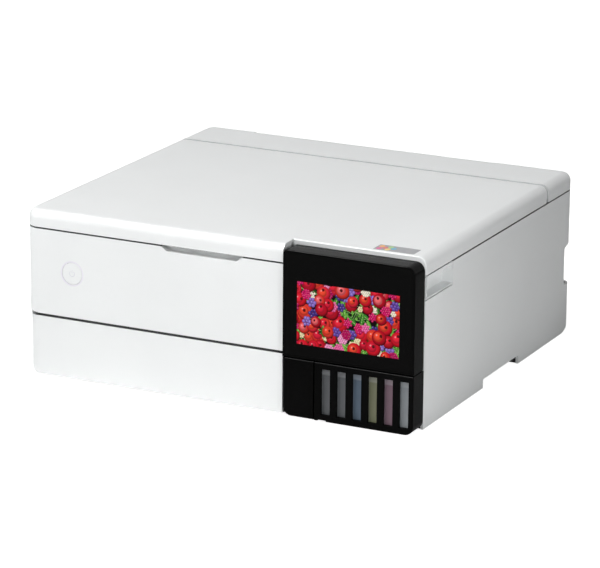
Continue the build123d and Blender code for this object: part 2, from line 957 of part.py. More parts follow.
def document_cover():
    outline = plan(left, right, front, cover_rear, front_corner_radius, front_corner_radius)
    shell = upright(outline, cover_bottom, height)
    top_edges = edges_where(shell, lambda c: c.Z > height - 0.01 and c.Y < cover_rear - 1)
    shell = fillet(top_edges, cover_edge_radius)
    rear_edge = edges_where(shell, lambda c: c.Z > height - 0.01 and c.Y > cover_rear - 0.01)
    shell = fillet(rear_edge, cover_rear_radius)
    inside = plan(
        inner_left,
        inner_right,
        inner_front,
        cover_rear - cover_skin,
        front_corner_radius - wall,
        front_corner_radius - wall,
    )
    hollow = upright(inside, cover_bottom - 1, height - cover_skin)
    hollow_edges = edges_where(hollow, lambda c: c.Z > height - cover_skin - 0.01 and c.Y < cover_rear - 5)
    hollow = fillet(hollow_edges, cover_edge_radius - wall)
    hollow -= cover_cutout(wall)
    shell -= cover_cutout()
    behind = module_back + panel_back_gap
    cut_edge = edges_where(shell, lambda c: c.Z > height - 0.01 and abs(c.Y - behind) < 0.01)
    shell = fillet(cut_edge, cover_cut_radius) - hollow - label_recess()
    side = module_left - seam
    shell -= block(
        side - wall - corner_relief / 2,
        side + corner_relief / 2,
        behind - corner_relief,
        behind,
        cover_bottom - 1,
        height - cover_skin,
    )
    # slots in the rear wall for the hinge posts and arms
    slot = block(
        hinge_outer - 3 * leaf_pitch - 1,
        inner_right,
        cover_rear - cover_relief,
        cover_rear + 1,
        cover_bottom - 1,
        height - cover_skin - 0.6,
    )
    shell -= both_sides(slot)
    relief = block(
        left - 1,
        right + 1,
        cover_rear - cover_relief,
        cover_rear + 1,
        cover_bottom - 1,
        cover_bottom + cover_relief,
    )
    shell -= relief
    ears = hinge_leaf_shape(hinge_outer - 2 * leaf_pitch, mat_top)
    ears += block(
        hinge_outer - 2 * leaf_pitch - hinge_leaf,
        hinge_outer - 2 * leaf_pitch,
        hinge_y - hinge_web / 2,
        hinge_y + hinge_web / 2,
        mat_top,
        height - cover_skin,
    )
    ears -= rod_x(hinge_pin_radius + shaft_clearance, 0, right, hinge_y, hinge_z)
    shell += both_sides(ears)
    return shell


mat_bottom = cover_bottom - mat_overhang
mat_top = mat_bottom + mat_thickness
mat_left = inner_left + mat_margin
mat_right = inner_right - mat_margin
mat_front = module_back + panel_back_gap + wall + mat_margin
mat_back = hinge_y - hinge_web - mat_margin


# Shallow place for the label behind the black module.
def label_recess():
    x1 = right - label_right_inset
    y0 = module_back + panel_back_gap + label_behind_cut
    radii = (label_corner_radius,) * 4
    outline = plan(x1 - label_width, x1, y0, y0 + label_length, *radii)
    return upright(outline, height - label_depth, height + 1)


# Panel inside the cover, with ribs that hold the mat away from the cover's skin.
def cover_liner():
    roof = height - cover_skin
    liner = block(mat_left, mat_right, mat_front, mat_back, mat_top, mat_top + liner_thickness)
    count = int((mat_right - mat_left) / rib_pitch)
    for step in range(count + 1):
        x = mat_left + rib_inset + step * rib_pitch
        liner += block(x, x + rib_thickness, mat_front, mat_back, mat_top, roof)
    for y in (mat_front, (mat_front + mat_back) / 2, mat_back - rib_thickness):
        liner += block(mat_left, mat_right, y, y + rib_thickness, mat_top, roof)
    return liner


def document_mat():
    mat = block(mat_left, mat_right, mat_front, mat_back, mat_bottom, mat_top)
    return fillet(mat.edges().filter_by(Axis.Z), mat_corner_radius)


# ---------------------------------------------------------------- scanner unit
rod_z_level = tub_bottom + scan_rod_height
scan_rod_y = (glass_front + glass_back) / 2
scan_bar_top = glass_top - glass_thickness - scan_bar_gap
scan_bar_left = -tub_half + tub_wall + scan_bar_inset
scan_bar_right = scan_bar_left + scan_bar_width


def scanner_tub():
    half = tub_half
    tub = block(-half, half, tub_front, tub_back, tub_bottom, flange_bottom)
    tub -= block(
        -half + tub_wall,
        half - tub_wall,
        tub_front + tub_wall,
        tub_back - tub_wall,
        tub_bottom + tub_wall,
        flange_bottom + 1,
    )
    flange_plan = plan(
        inner_left + flange_gap,
        inner_right - flange_gap,
        inner_front + flange_gap,
        tub_back,
        front_corner_radius - wall - flange_gap,
    )
    flange = upright(flange_plan, flange_bottom, casing_top)
    flange -= block(
        module_left - seam - flange_gap,
        right,
        front - 1,
        module_back + panel_back_gap,
        flange_bottom - 1,
        casing_top + 1,
    )
    flange -= cover_notch(front - 1, front + notch_depth + notch_wall + flange_gap, notch_wall + flange_gap)
    flange -= both_sides(
        block(
            hinge_outer - leaf_pitch,
            inner_right,
            hinge_y - hinge_foot / 2 - 5 * seam,
            tub_back + 1,
            flange_bottom - 1,
            casing_top + 1,
        )
    )
    body = tub + flange + both_sides(scanner_grip())
    body -= block(
        glass_left - glass_clearance,
        glass_right + glass_clearance,
        glass_front - glass_clearance,
        glass_back + glass_clearance,
        glass_top - glass_thickness,
        casing_top + 1,
    )
    body -= block(
        glass_left + glass_ledge,
        glass_right - glass_ledge,
        glass_front + glass_ledge,
        glass_back - glass_ledge,
        flange_bottom - 1,
        casing_top,
    )
    arm = hinge_leaf_shape(hinge_outer - leaf_pitch, flange_bottom)
    arm -= rod_x(hinge_pin_radius + shaft_clearance, 0, right, hinge_y, hinge_z)
    body += both_sides(arm)
    return body - rod_x(scan_rod_radius, -half - 1, half + 1, scan_rod_y, rod_z_level)


# Grip block that fills the notch in the side cover, with a pocket for the fingers.
def scanner_grip():
    grip = block(tub_half - tub_wall, right, grip_front, grip_back, grip_bottom, casing_top)
    pocket = block(
        right - grip_pocket_depth,
        right + 1,
        grip_front + grip_frame,
        grip_back - grip_frame,
        grip_bottom + grip_frame,
        grip_bottom + grip_frame + grip_pocket_height,
    )
    return grip - pocket


def scanner_glass():
    return block(glass_left, glass_right, glass_front, glass_back, glass_top - glass_thickness, glass_top)


def scan_rod():
    half = tub_half
    return rod_x(scan_rod_radius, -half, half, scan_rod_y, rod_z_level)


# Image sensor bar riding on the rod, with the lens slit on top.
def scan_bar():
    bar_bottom = scan_bar_top - scan_bar_thickness
    y0, y1 = glass_front + scan_bar_inset, glass_back - scan_bar_inset
    bar = block(scan_bar_left, scan_bar_right, y0, y1, bar_bottom, scan_bar_top)
    slider = block(
        scan_bar_left,
        scan_bar_right,
        scan_rod_y - scan_slider_length / 2,
        scan_rod_y + scan_slider_length / 2,
        rod_z_level - scan_rod_radius - scan_slider_lip,
        bar_bottom,
    )
    slit_x = (scan_bar_left + scan_bar_right) / 2
    slit = block(
        slit_x - scan_slit_width / 2,
        slit_x + scan_slit_width / 2,
        glass_front + scan_slit_inset,
        glass_back - scan_slit_inset,
        scan_bar_top - scan_slit_depth,
        scan_bar_top + 1,
    )
    body = bar + slider - slit
    return body - rod_x(scan_rod_radius + shaft_clearance, -width, width, scan_rod_y, rod_z_level)


# ---------------------------------------------------------------- tilting control panel
def module_slab(x0, x1, z0, z1, y0, y1, radii):
    return front_slab(plan(x0, x1, z0, z1, *radii), y0, y1)


top_radii = (0, 0, module_corner_radius, module_left_radius)
panel_front_wall = touch_glass_thickness + glass_backing


def panel_housing():
    outer = module_slab(module_left, right, panel_bottom, module_top, module_front, module_back, top_radii)
    outer = fillet(edges_where(outer, lambda c: c.Y < module_front + 0.01), module_edge_radius)
    top_back = edges_where(outer, lambda c: c.Y > module_back - 0.01 and c.Z > module_top - 0.01)
    outer = fillet(top_back, panel_back_radius)
    cavity_radii = (0, 0, module_corner_radius - module_wall, module_left_radius - module_wall)
    cavity = module_slab(
        module_left + module_wall,
        right - module_wall,
        panel_bottom + module_wall,
        module_top - module_wall,
        module_front + panel_front_wall,
        module_back - module_wall,
        cavity_radii,
    )
    housing = outer - cavity - touch_glass_shape(touch_glass_sink, module_front - 1)
    housing -= block(
        screen_x0 - screen_frame - 1,
        screen_x1 + screen_frame + 1,
        module_front - 1,
        module_front + 2 * panel_front_wall,
        screen_bottom - screen_frame - 1,
        screen_top + screen_frame + 1,
    )
    pivot = rod_x(panel_ear_radius, module_left + 1, right - 1, panel_pivot_y, panel_pivot_z)
    for x in ear_places:
        slot = block(
            x - panel_ear_thickness / 2 - slide_gap,
            x + panel_ear_thickness / 2 + slide_gap,
            module_back - module_wall - 1,
            module_back + 1,
            mount_ear_bottom - 2 * seam,
            module_top - module_wall,
        )
        housing -= slot
        for side in (-1, 1):
            near = x + side * (panel_ear_thickness / 2 + slide_gap)
            far = near + side * panel_lug
            housing += pivot & block(min(near, far), max(near, far), front - panel_proud, rear, 0, height)
            housing += block(
                min(near, far),
                max(near, far),
                panel_pivot_y - panel_ear_radius,
                panel_pivot_y + panel_ear_radius,
                panel_pivot_z,
                module_top - 1,
            )
    bore = panel_pin_radius + shaft_clearance
    x0, x1 = module_left + 2 * module_wall, right - 2 * module_wall
    return housing - rod_x(bore, x0, x1, panel_pivot_y, panel_pivot_z)


def touch_glass_shape(extra, y0):
    inset = glass_inset - extra
    radii = (1, 1, module_corner_radius - inset, module_left_radius - inset)
    return module_slab(
        module_left + inset,
        right - inset,
        panel_bottom + inset,
        module_top - inset,
        y0,
        module_front + touch_glass_thickness,
        radii,
    )


def touch_glass():
    return touch_glass_shape(0, module_front + touch_glass_sink)


def lcd_screen():
    y0 = module_front + touch_glass_thickness
    y1 = y0 + screen_thickness
    edge = screen_frame
    panel = block(screen_x0 - edge, screen_x1 + edge, y0, y1, screen_bottom - edge, screen_top + edge)
    inset = screen_board_inset
    return panel + block(
        screen_x0 + inset,
        screen_x1 - inset,
        y1,
        y1 + board_thickness,
        screen_bottom + inset,
        screen_top - inset,
    )


# Fixed black wall behind the panel, with the ears that carry the tilt pins.
def panel_mount():
    mount_back = mount_front + mount_wall
    wall_piece = block(module_left + 1, inner_right, mount_front, mount_back, tank_cover_top + 1, mount_top)
    for x in ear_places:
        x0 = x - panel_ear_thickness / 2
        x1 = x + panel_ear_thickness / 2
        lower = block(x0, x1, panel_pivot_y - panel_ear_radius, mount_front, mount_ear_bottom, mount_top)
        neck = block(
            x0,
            x1,
            panel_pivot_y - panel_ear_radius,
            panel_pivot_y + panel_ear_radius,
            mount_top,
            panel_pivot_z,
        )
        eye = rod_x(panel_ear_radius, x0, x1, panel_pivot_y, panel_pivot_z)
        wall_piece += lower + neck + eye
    return wall_piece - rod_x(panel_pin_radius, module_left, right, panel_pivot_y, panel_pivot_z)


def panel_pins():
    pins = None
    for x in ear_places:
        half = panel_ear_thickness / 2 + slide_gap + panel_lug
        pin = rod_x(panel_pin_radius, x - half, x + half, panel_pivot_y, panel_pivot_z)
        pins = pin if pins is None else pins + pin
    return pins


# ---------------------------------------------------------------- tank cover, card door
def window_x(index):
    return module_left + first_window + index * tank_pitch


def tank_window_cover():
    radii = (0, module_corner_radius, 0, 0)
    outer = module_slab(tank_cover_left, right, module_lift, tank_cover_top, module_front, module_back, radii)
    outer = fillet(edges_where(outer, lambda c: c.Y < module_front + 0.01), module_edge_radius)
    cavity = module_slab(
        tank_cover_left + module_wall,
        right - module_wall,
        module_lift + module_wall,
        tank_cover_top - module_wall,
        module_front + window_frame,
        module_back + 1,
        (0, module_corner_radius - module_wall, 0, 0),
    )
    cover = outer - cavity
    for index in range(tank_count):
        x0, x1 = window_x(index), window_x(index) + window_width
        cover -= block(x0, x1, module_front - 1, module_front + window_frame + 1, window_bottom, window_top)
    x0 = tank_cover_left + toe_notch_inset
    notch_top = module_lift + toe_notch_height
    return cover - block(x0, x0 + toe_notch_width, module_front - 1, module_back + 1, 0, notch_top)


def card_door():
    radii = (module_corner_radius, 0, 0, 0)
    door = module_slab(
        module_left,
        door_right - seam / 2,
        module_lift,
        tank_cover_top,
        module_front,
        module_front + door_thickness,
        radii,
    )
    lower = edges_where(door, lambda c: c.Y < module_front + 0.01 and c.Z < module_lift + 0.01)
    door = fillet(lower, door_toe_radius)
    upper = edges_where(door, lambda c: c.Y < module_front + 0.01 and c.Z > tank_cover_top - 0.01)
    door = fillet(upper, module_edge_radius)
    for x in (door_lug_left, door_lug_right):
        door += block(
            x,
            x + door_lug,
            module_front + door_thickness,
            door_pivot_y,
            door_pivot_height - door_eye_radius,
            door_pivot_height + door_eye_radius,
        )
        door += rod_x(door_eye_radius, x, x + door_lug, door_pivot_y, door_pivot_height)
    bore = door_pin_radius + shaft_clearance
    return door - rod_x(bore, module_left, door_right, door_pivot_y, door_pivot_height)


reader_left = module_left + module_wall
reader_right = door_right - module_wall - seam / 2
reader_front = door_pivot_y + reader_stand
reader_back = reader_front + reader_depth
reader_middle = (reader_left + reader_right) / 2


# Card reader housing with a card slot and a socket, and the arms that carry the door pin.
def card_reader():
    body_bottom = floor_top + reader_stand
    body_top = tank_cover_top - module_wall
    body = block(reader_left, reader_right, reader_front, reader_back, body_bottom, body_top)
    body -= block(
        reader_middle - card_slot_width / 2,
        reader_middle + card_slot_width / 2,
        reader_front - 1,
        reader_front + card_slot_depth,
        card_slot_bottom,
        body_top - reader_stand,
    )
    body -= block(
        reader_middle - stick_slot_width / 2,
        reader_middle + stick_slot_width / 2,
        reader_front - 1,
        reader_front + stick_slot_depth,
        stick_slot_bottom,
        stick_slot_bottom + stick_slot_height,
    )
    for x in (door_lug_left - slide_gap - reader_arm, door_lug_right + door_lug + slide_gap):
        arm_bottom = door_pivot_height - door_eye_radius
        body += block(x, x + reader_arm, door_pivot_y, reader_front, arm_bottom, body_bottom + seam)
        body += rod_x(door_eye_radius, x, x + reader_arm, door_pivot_y, door_pivot_height)
    body += block(reader_left, reader_right, base_front, reader_back, floor_top, body_bottom)
    return body - rod_x(door_pin_radius, module_left, door_right, door_pivot_y, door_pivot_height)


def door_pin():
    return rod_x(
        door_pin_radius,
        door_lug_left - slide_gap - reader_arm,
        door_lug_right + door_lug + slide_gap + reader_arm,
        door_pivot_y,
        door_pivot_height,
    )


tank_front = module_front + window_frame + joint_gap
tank_step = mount_front + mount_wall + seam
tank_back = tank_front + tank_depth
tank_bottom = floor_top + tank_lift
tank_width = tank_pitch - tank_gap
neck_y = tank_back - tank_neck_inset


def tank_middle(index):
    return window_x(index) + window_width / 2


def tank_block(index, inset):
    x0 = tank_middle(index) - tank_width / 2 + inset
    x1 = tank_middle(index) + tank_width / 2 - inset
    y1 = tank_back - inset
    z0 = tank_bottom + inset
    low = block(x0, x1, tank_front + inset, y1, z0, tank_cover_top - 2 * module_wall - inset)
    return low + block(x0, x1, tank_step + inset, y1, z0, tank_top - inset)


def ink_tanks():
    tanks = []
    for index in range(tank_count):
        shell = tank_block(index, 0) - tank_block(index, tank_wall)
        x = tank_middle(index)
        neck_top = tank_top + tank_neck_height
        neck = rod_z(tank_neck_radius, x, neck_y, tank_top, neck_top)
        bore = rod_z(tank_neck_radius - tank_wall, x, neck_y, tank_top - tank_wall - 1, neck_top + 1)
        tanks.append(shell + neck - bore)
    return group(*tanks)


def inks():
    fills = []
    for index in range(tank_count):
        x0 = tank_middle(index) - tank_width / 2 + tank_wall
        x1 = tank_middle(index) + tank_width / 2 - tank_wall
        y0, y1 = tank_front + tank_wall, tank_back - tank_wall
        fills.append(block(x0, x1, y0, y1, tank_bottom + tank_wall, ink_level))
    return group(*fills)


def tank_caps():
    caps = []
    for index in range(tank_count):
        x = tank_middle(index)
        z0 = tank_top + joint_gap
        cap = rod_z(cap_radius, x, neck_y, z0, z0 + cap_height)
        cap -= rod_z(tank_neck_radius, x, neck_y, z0 - 1, tank_top + tank_neck_height)
        caps.append(cap)
    return group(*caps)


# ---------------------------------------------------------------- base, feet, deck
pillar_x = hinge_outer - hinge_leaf


# Floor with a wall that rises along the rounded heel.
def pan_floor():
    corner = rear_corner_radius - wall
    outline = plan(inner_left, inner_right, base_front, inner_rear, 0, 0, corner, corner)
    back = rear - heel_inset
    outer_radius = heel_radius - heel_inset
    shell = heeled(back, foot_height, outer_radius)
    inside = heeled(back - heel_wall, foot_height + heel_wall, outer_radius - heel_wall)
    behind_feet = block(left, right, rear - heel_radius, rear, foot_height, duplex_bottom - joint_gap)
    rim = (upright(outline, foot_height, duplex_bottom) & behind_feet & shell) - inside
    floor = upright(outline, foot_height, floor_top) & shell
    front_strip = block(left_wall_x0, partition_right, inner_front + wall, base_front, foot_height, floor_top)
    return floor + rim + front_strip


def base_pan():
    back_end = frame_back_y + frame_sheet
    walls = block(left_wall_x0, left_wall_x1, base_front, frame_front_y, floor_top, deck_height)
    walls += block(partition_left, partition_right, base_front, frame_front_y, floor_top, deck_height)
    walls += block(left_wall_x0, left_wall_x1, frame_front_y, back_end, floor_top, rail_height)
    partition_back = frame_back_y - partition_back_gap
    walls += block(partition_left, partition_right, frame_front_y, partition_back, floor_top, rail_height)
    walls += block(partition_left, partition_right, platen_front, platen_back, rail_height, platen_bottom)
    walls += block(right_wall_x0, right_wall_x1, frame_front_y, back_end, floor_top, rail_height)
    tanks_left = tank_middle(0) - tank_width / 2
    walls += block(tanks_left, inner_right - 1, base_front, tank_back, floor_top, tank_bottom)
    y0, y1 = hinge_y - hinge_foot / 2, hinge_y + hinge_foot / 2
    walls += both_sides(block(pillar_x, inner_right, y0, y1, floor_top, deck_height))
    pan = pan_floor() + walls
    for side, depth in ((1, carry_depth_right), (-1, carry_depth_left)):
        outer = side * inner_right
        deep = outer - side * depth
        past = outer + side
        pan += block(
            min(outer, deep),
            max(outer, deep),
            carry_y0 - base_wall,
            carry_y1 + base_wall,
            floor_top,
            carry_roof + base_wall,
        )
        pan -= block(min(past, deep), max(past, deep), carry_y0, carry_y1, 0, carry_roof)
    return pan


def rubber_feet():
    feet = []
    for x in (left + foot_inset, right - foot_inset):
        for y in (front + foot_inset, rear - foot_inset):
            feet.append(fillet_foot(rod_z(foot_radius, x, y, 0, foot_height)))
    return group(*feet)


def fillet_foot(foot):
    return fillet(edges_where(foot, lambda c: c.Z < 0.01), foot_edge_radius)


def output_deck():
    top = deck_height + deck_thickness
    return block(left_wall_x0, partition_right, front + deck_inset, frame_front_y, deck_height, top)


# ---------------------------------------------------------------- print mechanism
gear_span = feed_roller_y - eject_roller_y - gear_module * (feed_teeth + eject_teeth) / 2
idler_teeth = round(gear_span / gear_module)


def main_frame():
    top = frame_top
    back_end = frame_back_y + frame_sheet
    right_end = frame_right_x + frame_sheet
    frame = block(frame_left_x, frame_inner_x, frame_front_y, back_end, rail_height, top)
    frame += block(frame_right_x, right_end, frame_front_y, back_end, rail_height, top)
    frame += block(frame_left_x, right_end, frame_back_y, back_end, rail_height, top)
    frame -= block(
        paper_middle - paper_width / 2 - frame_window_side,
        paper_middle + paper_width / 2 + frame_window_side,
        frame_back_y - 1,
        back_end + 1,
        rail_height + frame_window_lift,
        rail_height + frame_window_lift + frame_window_height,
    )
    across = (frame_left_x - 1, right_end + 1)
    frame -= rod_x(guide_shaft_radius, *across, guide_shaft_y, guide_shaft_z)
    frame -= rod_x(feed_shaft_radius + shaft_clearance, *across, feed_roller_y, feed_axis_z)
    frame -= rod_x(eject_shaft_radius + shaft_clearance, *across, eject_roller_y, eject_axis_z)
    frame -= rod_x(pinion_hub_radius + 1, frame_left_x - 1, frame_inner_x + 1, pinion_y, pinion_z)
    pulley_pin = pulley_bore_radius - shaft_clearance
    frame += rod_y(pulley_pin, idler_pulley_x, belt_y - 4 * seam, frame_back_y, belt_height)
    return frame + rod_x(idler_bore - shaft_clearance, gear_left, frame_left_x, idler_y, idler_z)


def guide_shaft():
    return rod_x(guide_shaft_radius, frame_left_x, frame_right_x + frame_sheet, guide_shaft_y, guide_shaft_z)


# Every steel pin and post that is fixed to the chassis.
def steel_shafts():
    return group(guide_shaft(), hinge_posts(), hinge_pins(), panel_pins(), door_pin(), arm_pin())


# ---- gear train on the left side: motor pinion, feed gear, idler, eject gear
idler_y = (feed_roller_y + eject_roller_y) / 2
idler_z = (feed_axis_z + eject_axis_z) / 2
pinion_distance = gear_module * (feed_teeth + pinion_teeth) / 2
pinion_y = feed_roller_y + pinion_distance * cos(radians(pinion_direction))
pinion_z = feed_axis_z + pinion_distance * sin(radians(pinion_direction))
feed_to_idler = atan2(idler_z - feed_axis_z, idler_y - feed_roller_y)
idler_to_eject = atan2(eject_axis_z - idler_z, eject_roller_y - idler_y)
feed_phase = 0.0
pinion_phase = mesh_phase(feed_teeth, feed_phase, pinion_teeth, radians(pinion_direction))
idler_phase = mesh_phase(feed_teeth, feed_phase, idler_teeth, feed_to_idler)
eject_phase = mesh_phase(idler_teeth, idler_phase, eject_teeth, idler_to_eject)


def feed_roller():
    shaft = rod_x(feed_shaft_radius, gear_left, frame_right_x + shaft_stub, feed_roller_y, feed_axis_z)
    return shaft + rod_x(feed_roller_radius, roller_left, roller_right, feed_roller_y, feed_axis_z)


def feed_gear():
    return gear_x(feed_teeth, feed_phase, gear_left, gear_right, feed_roller_y, feed_axis_z, 0)


def eject_roller():
    body = rod_x(eject_shaft_radius, gear_left, frame_right_x + shaft_stub, eject_roller_y, eject_axis_z)
    for step in range(eject_count):
        x = roller_left + eject_start + step * eject_pitch
        body += rod_x(eject_roller_radius, x, x + eject_band, eject_roller_y, eject_axis_z)
    return body + gear_x(eject_teeth, eject_phase, gear_left, gear_right, eject_roller_y, eject_axis_z, 0)


def idler_gear():
    return gear_x(idler_teeth, idler_phase, gear_left, gear_right, idler_y, idler_z, idler_bore)


def motor_pinion():
    pinion = gear_x(pinion_teeth, pinion_phase, gear_left, gear_right, pinion_y, pinion_z, 0)
    pinion += rod_x(pinion_hub_radius, gear_right, frame_inner_x, pinion_y, pinion_z)
    return pinion + rod_x(pinion_bore_radius, frame_inner_x, frame_inner_x + motor_shaft, pinion_y, pinion_z)


def feed_motor():
    x0 = frame_inner_x
    can = rod_x(feed_motor_radius, x0, x0 + feed_motor_length, pinion_y, pinion_z)
    can = fillet(edges_where(can, lambda c: c.X > x0 + feed_motor_length - 0.01), motor_edge_radius)
    return can - rod_x(pinion_bore_radius + shaft_clearance, x0 - 1, x0 + motor_shaft + 2, pinion_y, pinion_z)


def platen():
    x0, x1 = frame_inner_x, roller_right
    y0, y1 = platen_front, platen_back
    skin = platen_skin
    body = block(x0, x1, y0, y1, platen_bottom, platen_top)
    body -= block(x0 + skin, x1 - skin, y0 + skin, y1 - skin, platen_bottom - 1, platen_top - skin)
    rib_top = platen_top + platen_rib_height
    for step in range(int((x1 - x0) / platen_rib_pitch)):
        x = x0 + platen_rib_start + step * platen_rib_pitch
        body += block(x, x + platen_rib_thickness, y0 + 1, y1 - 1, platen_top - skin, rib_top)
    half = arm_lug_length / 2
    lug_bottom = arm_pivot_z - half
    for x in arm_lugs:
        body += block(x, x + arm_lug, arm_pivot_y - half, arm_pivot_y + half, lug_bottom, platen_top - 1)
    return body - rod_x(arm_pin_radius, arm_lugs[0] - 1, arm_lugs[1] + arm_lug + 1, arm_pivot_y, arm_pivot_z)


# ---- pickup arm and roller over the cassette
def pickup_arm():
    length = hypot(pickup_y - arm_pivot_y, pickup_z - arm_pivot_z)
    slope = degrees(asin((pickup_z - arm_pivot_z) / length))
    middle = Pos(paper_middle, (pickup_y + arm_pivot_y) / 2, (pickup_z + arm_pivot_z) / 2)
    arm = middle * Rot(slope, 0, 0) * Box(arm_width, length, arm_thickness)
    eye = arm_thickness / 2 + seam / 2
    arm += rod_x(eye, paper_middle - arm_boss / 2, paper_middle + arm_boss / 2, arm_pivot_y, arm_pivot_z)
    arm += rod_x(eye, paper_middle - arm_width / 2, paper_middle + arm_width / 2, pickup_y, pickup_z)
    arm -= rod_x(arm_pin_radius + shaft_clearance, left, right, arm_pivot_y, arm_pivot_z)
    return arm - rod_x(arm_pin_radius + shaft_clearance, left, right, pickup_y, pickup_z)


def arm_pin():
    return rod_x(arm_pin_radius, arm_lugs[0], arm_lugs[1] + arm_lug, arm_pivot_y, arm_pivot_z)


def pickup_roller():
    body = rod_x(arm_pin_radius, paper_middle - pickup_half, paper_middle + pickup_half, pickup_y, pickup_z)
    for x in (paper_middle - pickup_half, paper_middle + pickup_half - pickup_width):
        body += rod_x(pickup_radius, x, x + pickup_width, pickup_y, pickup_z)
    return body


# ---- carriage
def carriage():
    body = block(carriage_left, carriage_home, carriage_front, carriage_back, carriage_bottom, carriage_top)
    body = fillet(edges_where(body, lambda c: c.Z > carriage_top - 0.01), carriage_edge_radius)
    x0, x1 = carriage_left + carriage_wall, carriage_home - carriage_wall
    y0, y1 = carriage_front + carriage_wall, guide_shaft_y - guide_shaft_radius - carriage_boss_wall
    pocket_floor = carriage_top - carriage_pocket
    body -= block(x0, x1, y0, y1, pocket_floor, carriage_top + 1)
    half = carriage_rib / 2
    for index in range(1, tank_count):
        x = x0 + index * (x1 - x0) / tank_count
        body += block(x - half, x + half, y0 - 1, y1 + 1, pocket_floor - 1, carriage_top - carriage_wall)
    body += block(
        carriage_middle - clamp_width / 2,
        carriage_middle + clamp_width / 2,
        carriage_back - 1,
        belt_y - belt_width / 2 - slide_gap,
        belt_height - 1.5 * pulley_radius,
        belt_height - 0.5 * pulley_radius,
    )
    return body - rod_x(guide_shaft_radius + shaft_clearance, left, right, guide_shaft_y, guide_shaft_z)


head_left = carriage_left + head_inset
head_right = carriage_home - head_inset
head_front = carriage_front + head_front_inset
head_back = guide_shaft_y - guide_shaft_radius - head_back_gap
head_bottom = carriage_bottom - head_height


# Print head with one row of nozzles for each ink.
def print_head():
    head = block(head_left, head_right, head_front, head_back, head_bottom, carriage_bottom)
    pitch = (head_right - head_left - 2 * nozzle_inset) / (tank_count - 1)
    for index in range(tank_count):
        x = head_left + nozzle_inset + index * pitch
        head -= block(
            x - nozzle_width / 2,
            x + nozzle_width / 2,
            head_front + nozzle_inset,
            head_back - nozzle_inset,
            head_bottom - 1,
            head_bottom + nozzle_depth,
        )
    return head


def belt_loop(radius, y0, y1):
    x0, x1 = idler_pulley_x, drive_pulley_x
    loop = block(x0, x1, y0, y1, belt_height - radius, belt_height + radius)
    return loop + rod_y(radius, x0, y0, y1, belt_height) + rod_y(radius, x1, y0, y1, belt_height)


def carriage_belt():
    y0, y1 = belt_y - belt_width / 2, belt_y + belt_width / 2
    inner = pulley_radius + shaft_clearance
    return belt_loop(inner + belt_thickness, y0, y1) - belt_loop(inner, y0 - 1, y1 + 1)


def pulley(x):
    y0 = belt_y - belt_width / 2 - slide_gap
    y1 = belt_y + belt_width / 2 + slide_gap
    body = rod_y(pulley_radius, x, y0, y1, belt_height)
    body += rod_y(pulley_radius + 1, x, y0 - pulley_rim, y0, belt_height)
    return body + rod_y(pulley_radius + 1, x, y1, y1 + pulley_rim, belt_height)


def idler_pulley():
    return pulley(idler_pulley_x) - rod_y(pulley_bore_radius, idler_pulley_x, front, rear, belt_height)


def drive_pulley():
    shaft = rod_y(pulley_bore_radius, drive_pulley_x, belt_y, motor_front + motor_shaft, belt_height)
    return pulley(drive_pulley_x) + shaft


def carriage_motor():
    can = rod_y(carriage_motor_radius, drive_pulley_x, motor_front, frame_back_y, belt_height)
    can = fillet(edges_where(can, lambda c: c.Y > frame_back_y - 0.01), motor_edge_radius)
    bore = pulley_bore_radius + shaft_clearance
    return can - rod_y(bore, drive_pulley_x, motor_front - 1, motor_front + motor_shaft + 2, belt_height)


# Stand with a soft cup that closes the print head while the carriage is parked.
def capping_station():
    top = paper_plane - cup_depth
    y1 = platen_back - station_back_gap
    base = block(carriage_left, carriage_home, platen_front, y1, rail_height, top)
    for x in (carriage_left, carriage_home - station_leg):
        base += block(x, x + station_leg, platen_front, y1, supply_top, rail_height)
    cup = block(head_left, head_right, head_front, head_back, top, head_bottom - joint_gap)
    rim = cap_station_rim
    x0, x1 = head_left + rim, head_right - rim
    return base + cup - block(x0, x1, head_front + rim, head_back - rim, top + rim, paper_plane + rim)


# Bars over the rollers: star wheels over the eject roller, pinch rollers over the feed roller.
def star_wheel_bar():
    y = eject_roller_y - star_wheel_radius
    bar_bottom = paper_plane + 2 * star_wheel_radius
    bar = block(
        frame_inner_x,
        frame_right_x,
        y - bar_depth / 2,
        y + bar_depth / 2,
        bar_bottom,
        bar_bottom + bar_thickness,
    )
    for step in range(eject_count):
        x = roller_left + eject_start + eject_band / 2 + step * eject_pitch
        half = star_wheel_width / 2
        bar += rod_x(star_wheel_radius, x - half, x + half, y, paper_plane + star_wheel_radius + slide_gap)
        bar += block(x - 3 * half, x + 3 * half, y - 2, y + 2, bar_bottom - star_wheel_radius, bar_bottom)
    return bar


def pinch_roller_bar():
    y0 = feed_roller_y + 2 * pinch_radius
    y1 = y0 + bar_depth
    bar_bottom = paper_plane + bar_thickness
    bar_top = bar_bottom + bar_thickness
    bracket_top = paper_plane + bracket_height
    bar = block(roller_left + pinch_start - bar_depth, roller_right, y0, y1, bar_bottom, bar_top)
    for step in range(pinch_count):
        x = roller_left + pinch_start + step * pinch_pitch
        x0 = x + (pinch_length - pinch_arm) / 2
        x1 = x0 + pinch_arm
        bar += rod_x(pinch_radius, x, x + pinch_length, feed_roller_y, paper_plane + pinch_radius + pinch_nip)
        bar += block(x0, x1, feed_roller_y, y0 + 1, bar_bottom, bar_top - 1)
        bar += block(x0, x1, y1 - bar_thickness, y1, bar_top - 1, bracket_top)
        bar += block(x0, x1, y1 - 1, frame_back_y, bracket_top - 3, bracket_top)
    return bar


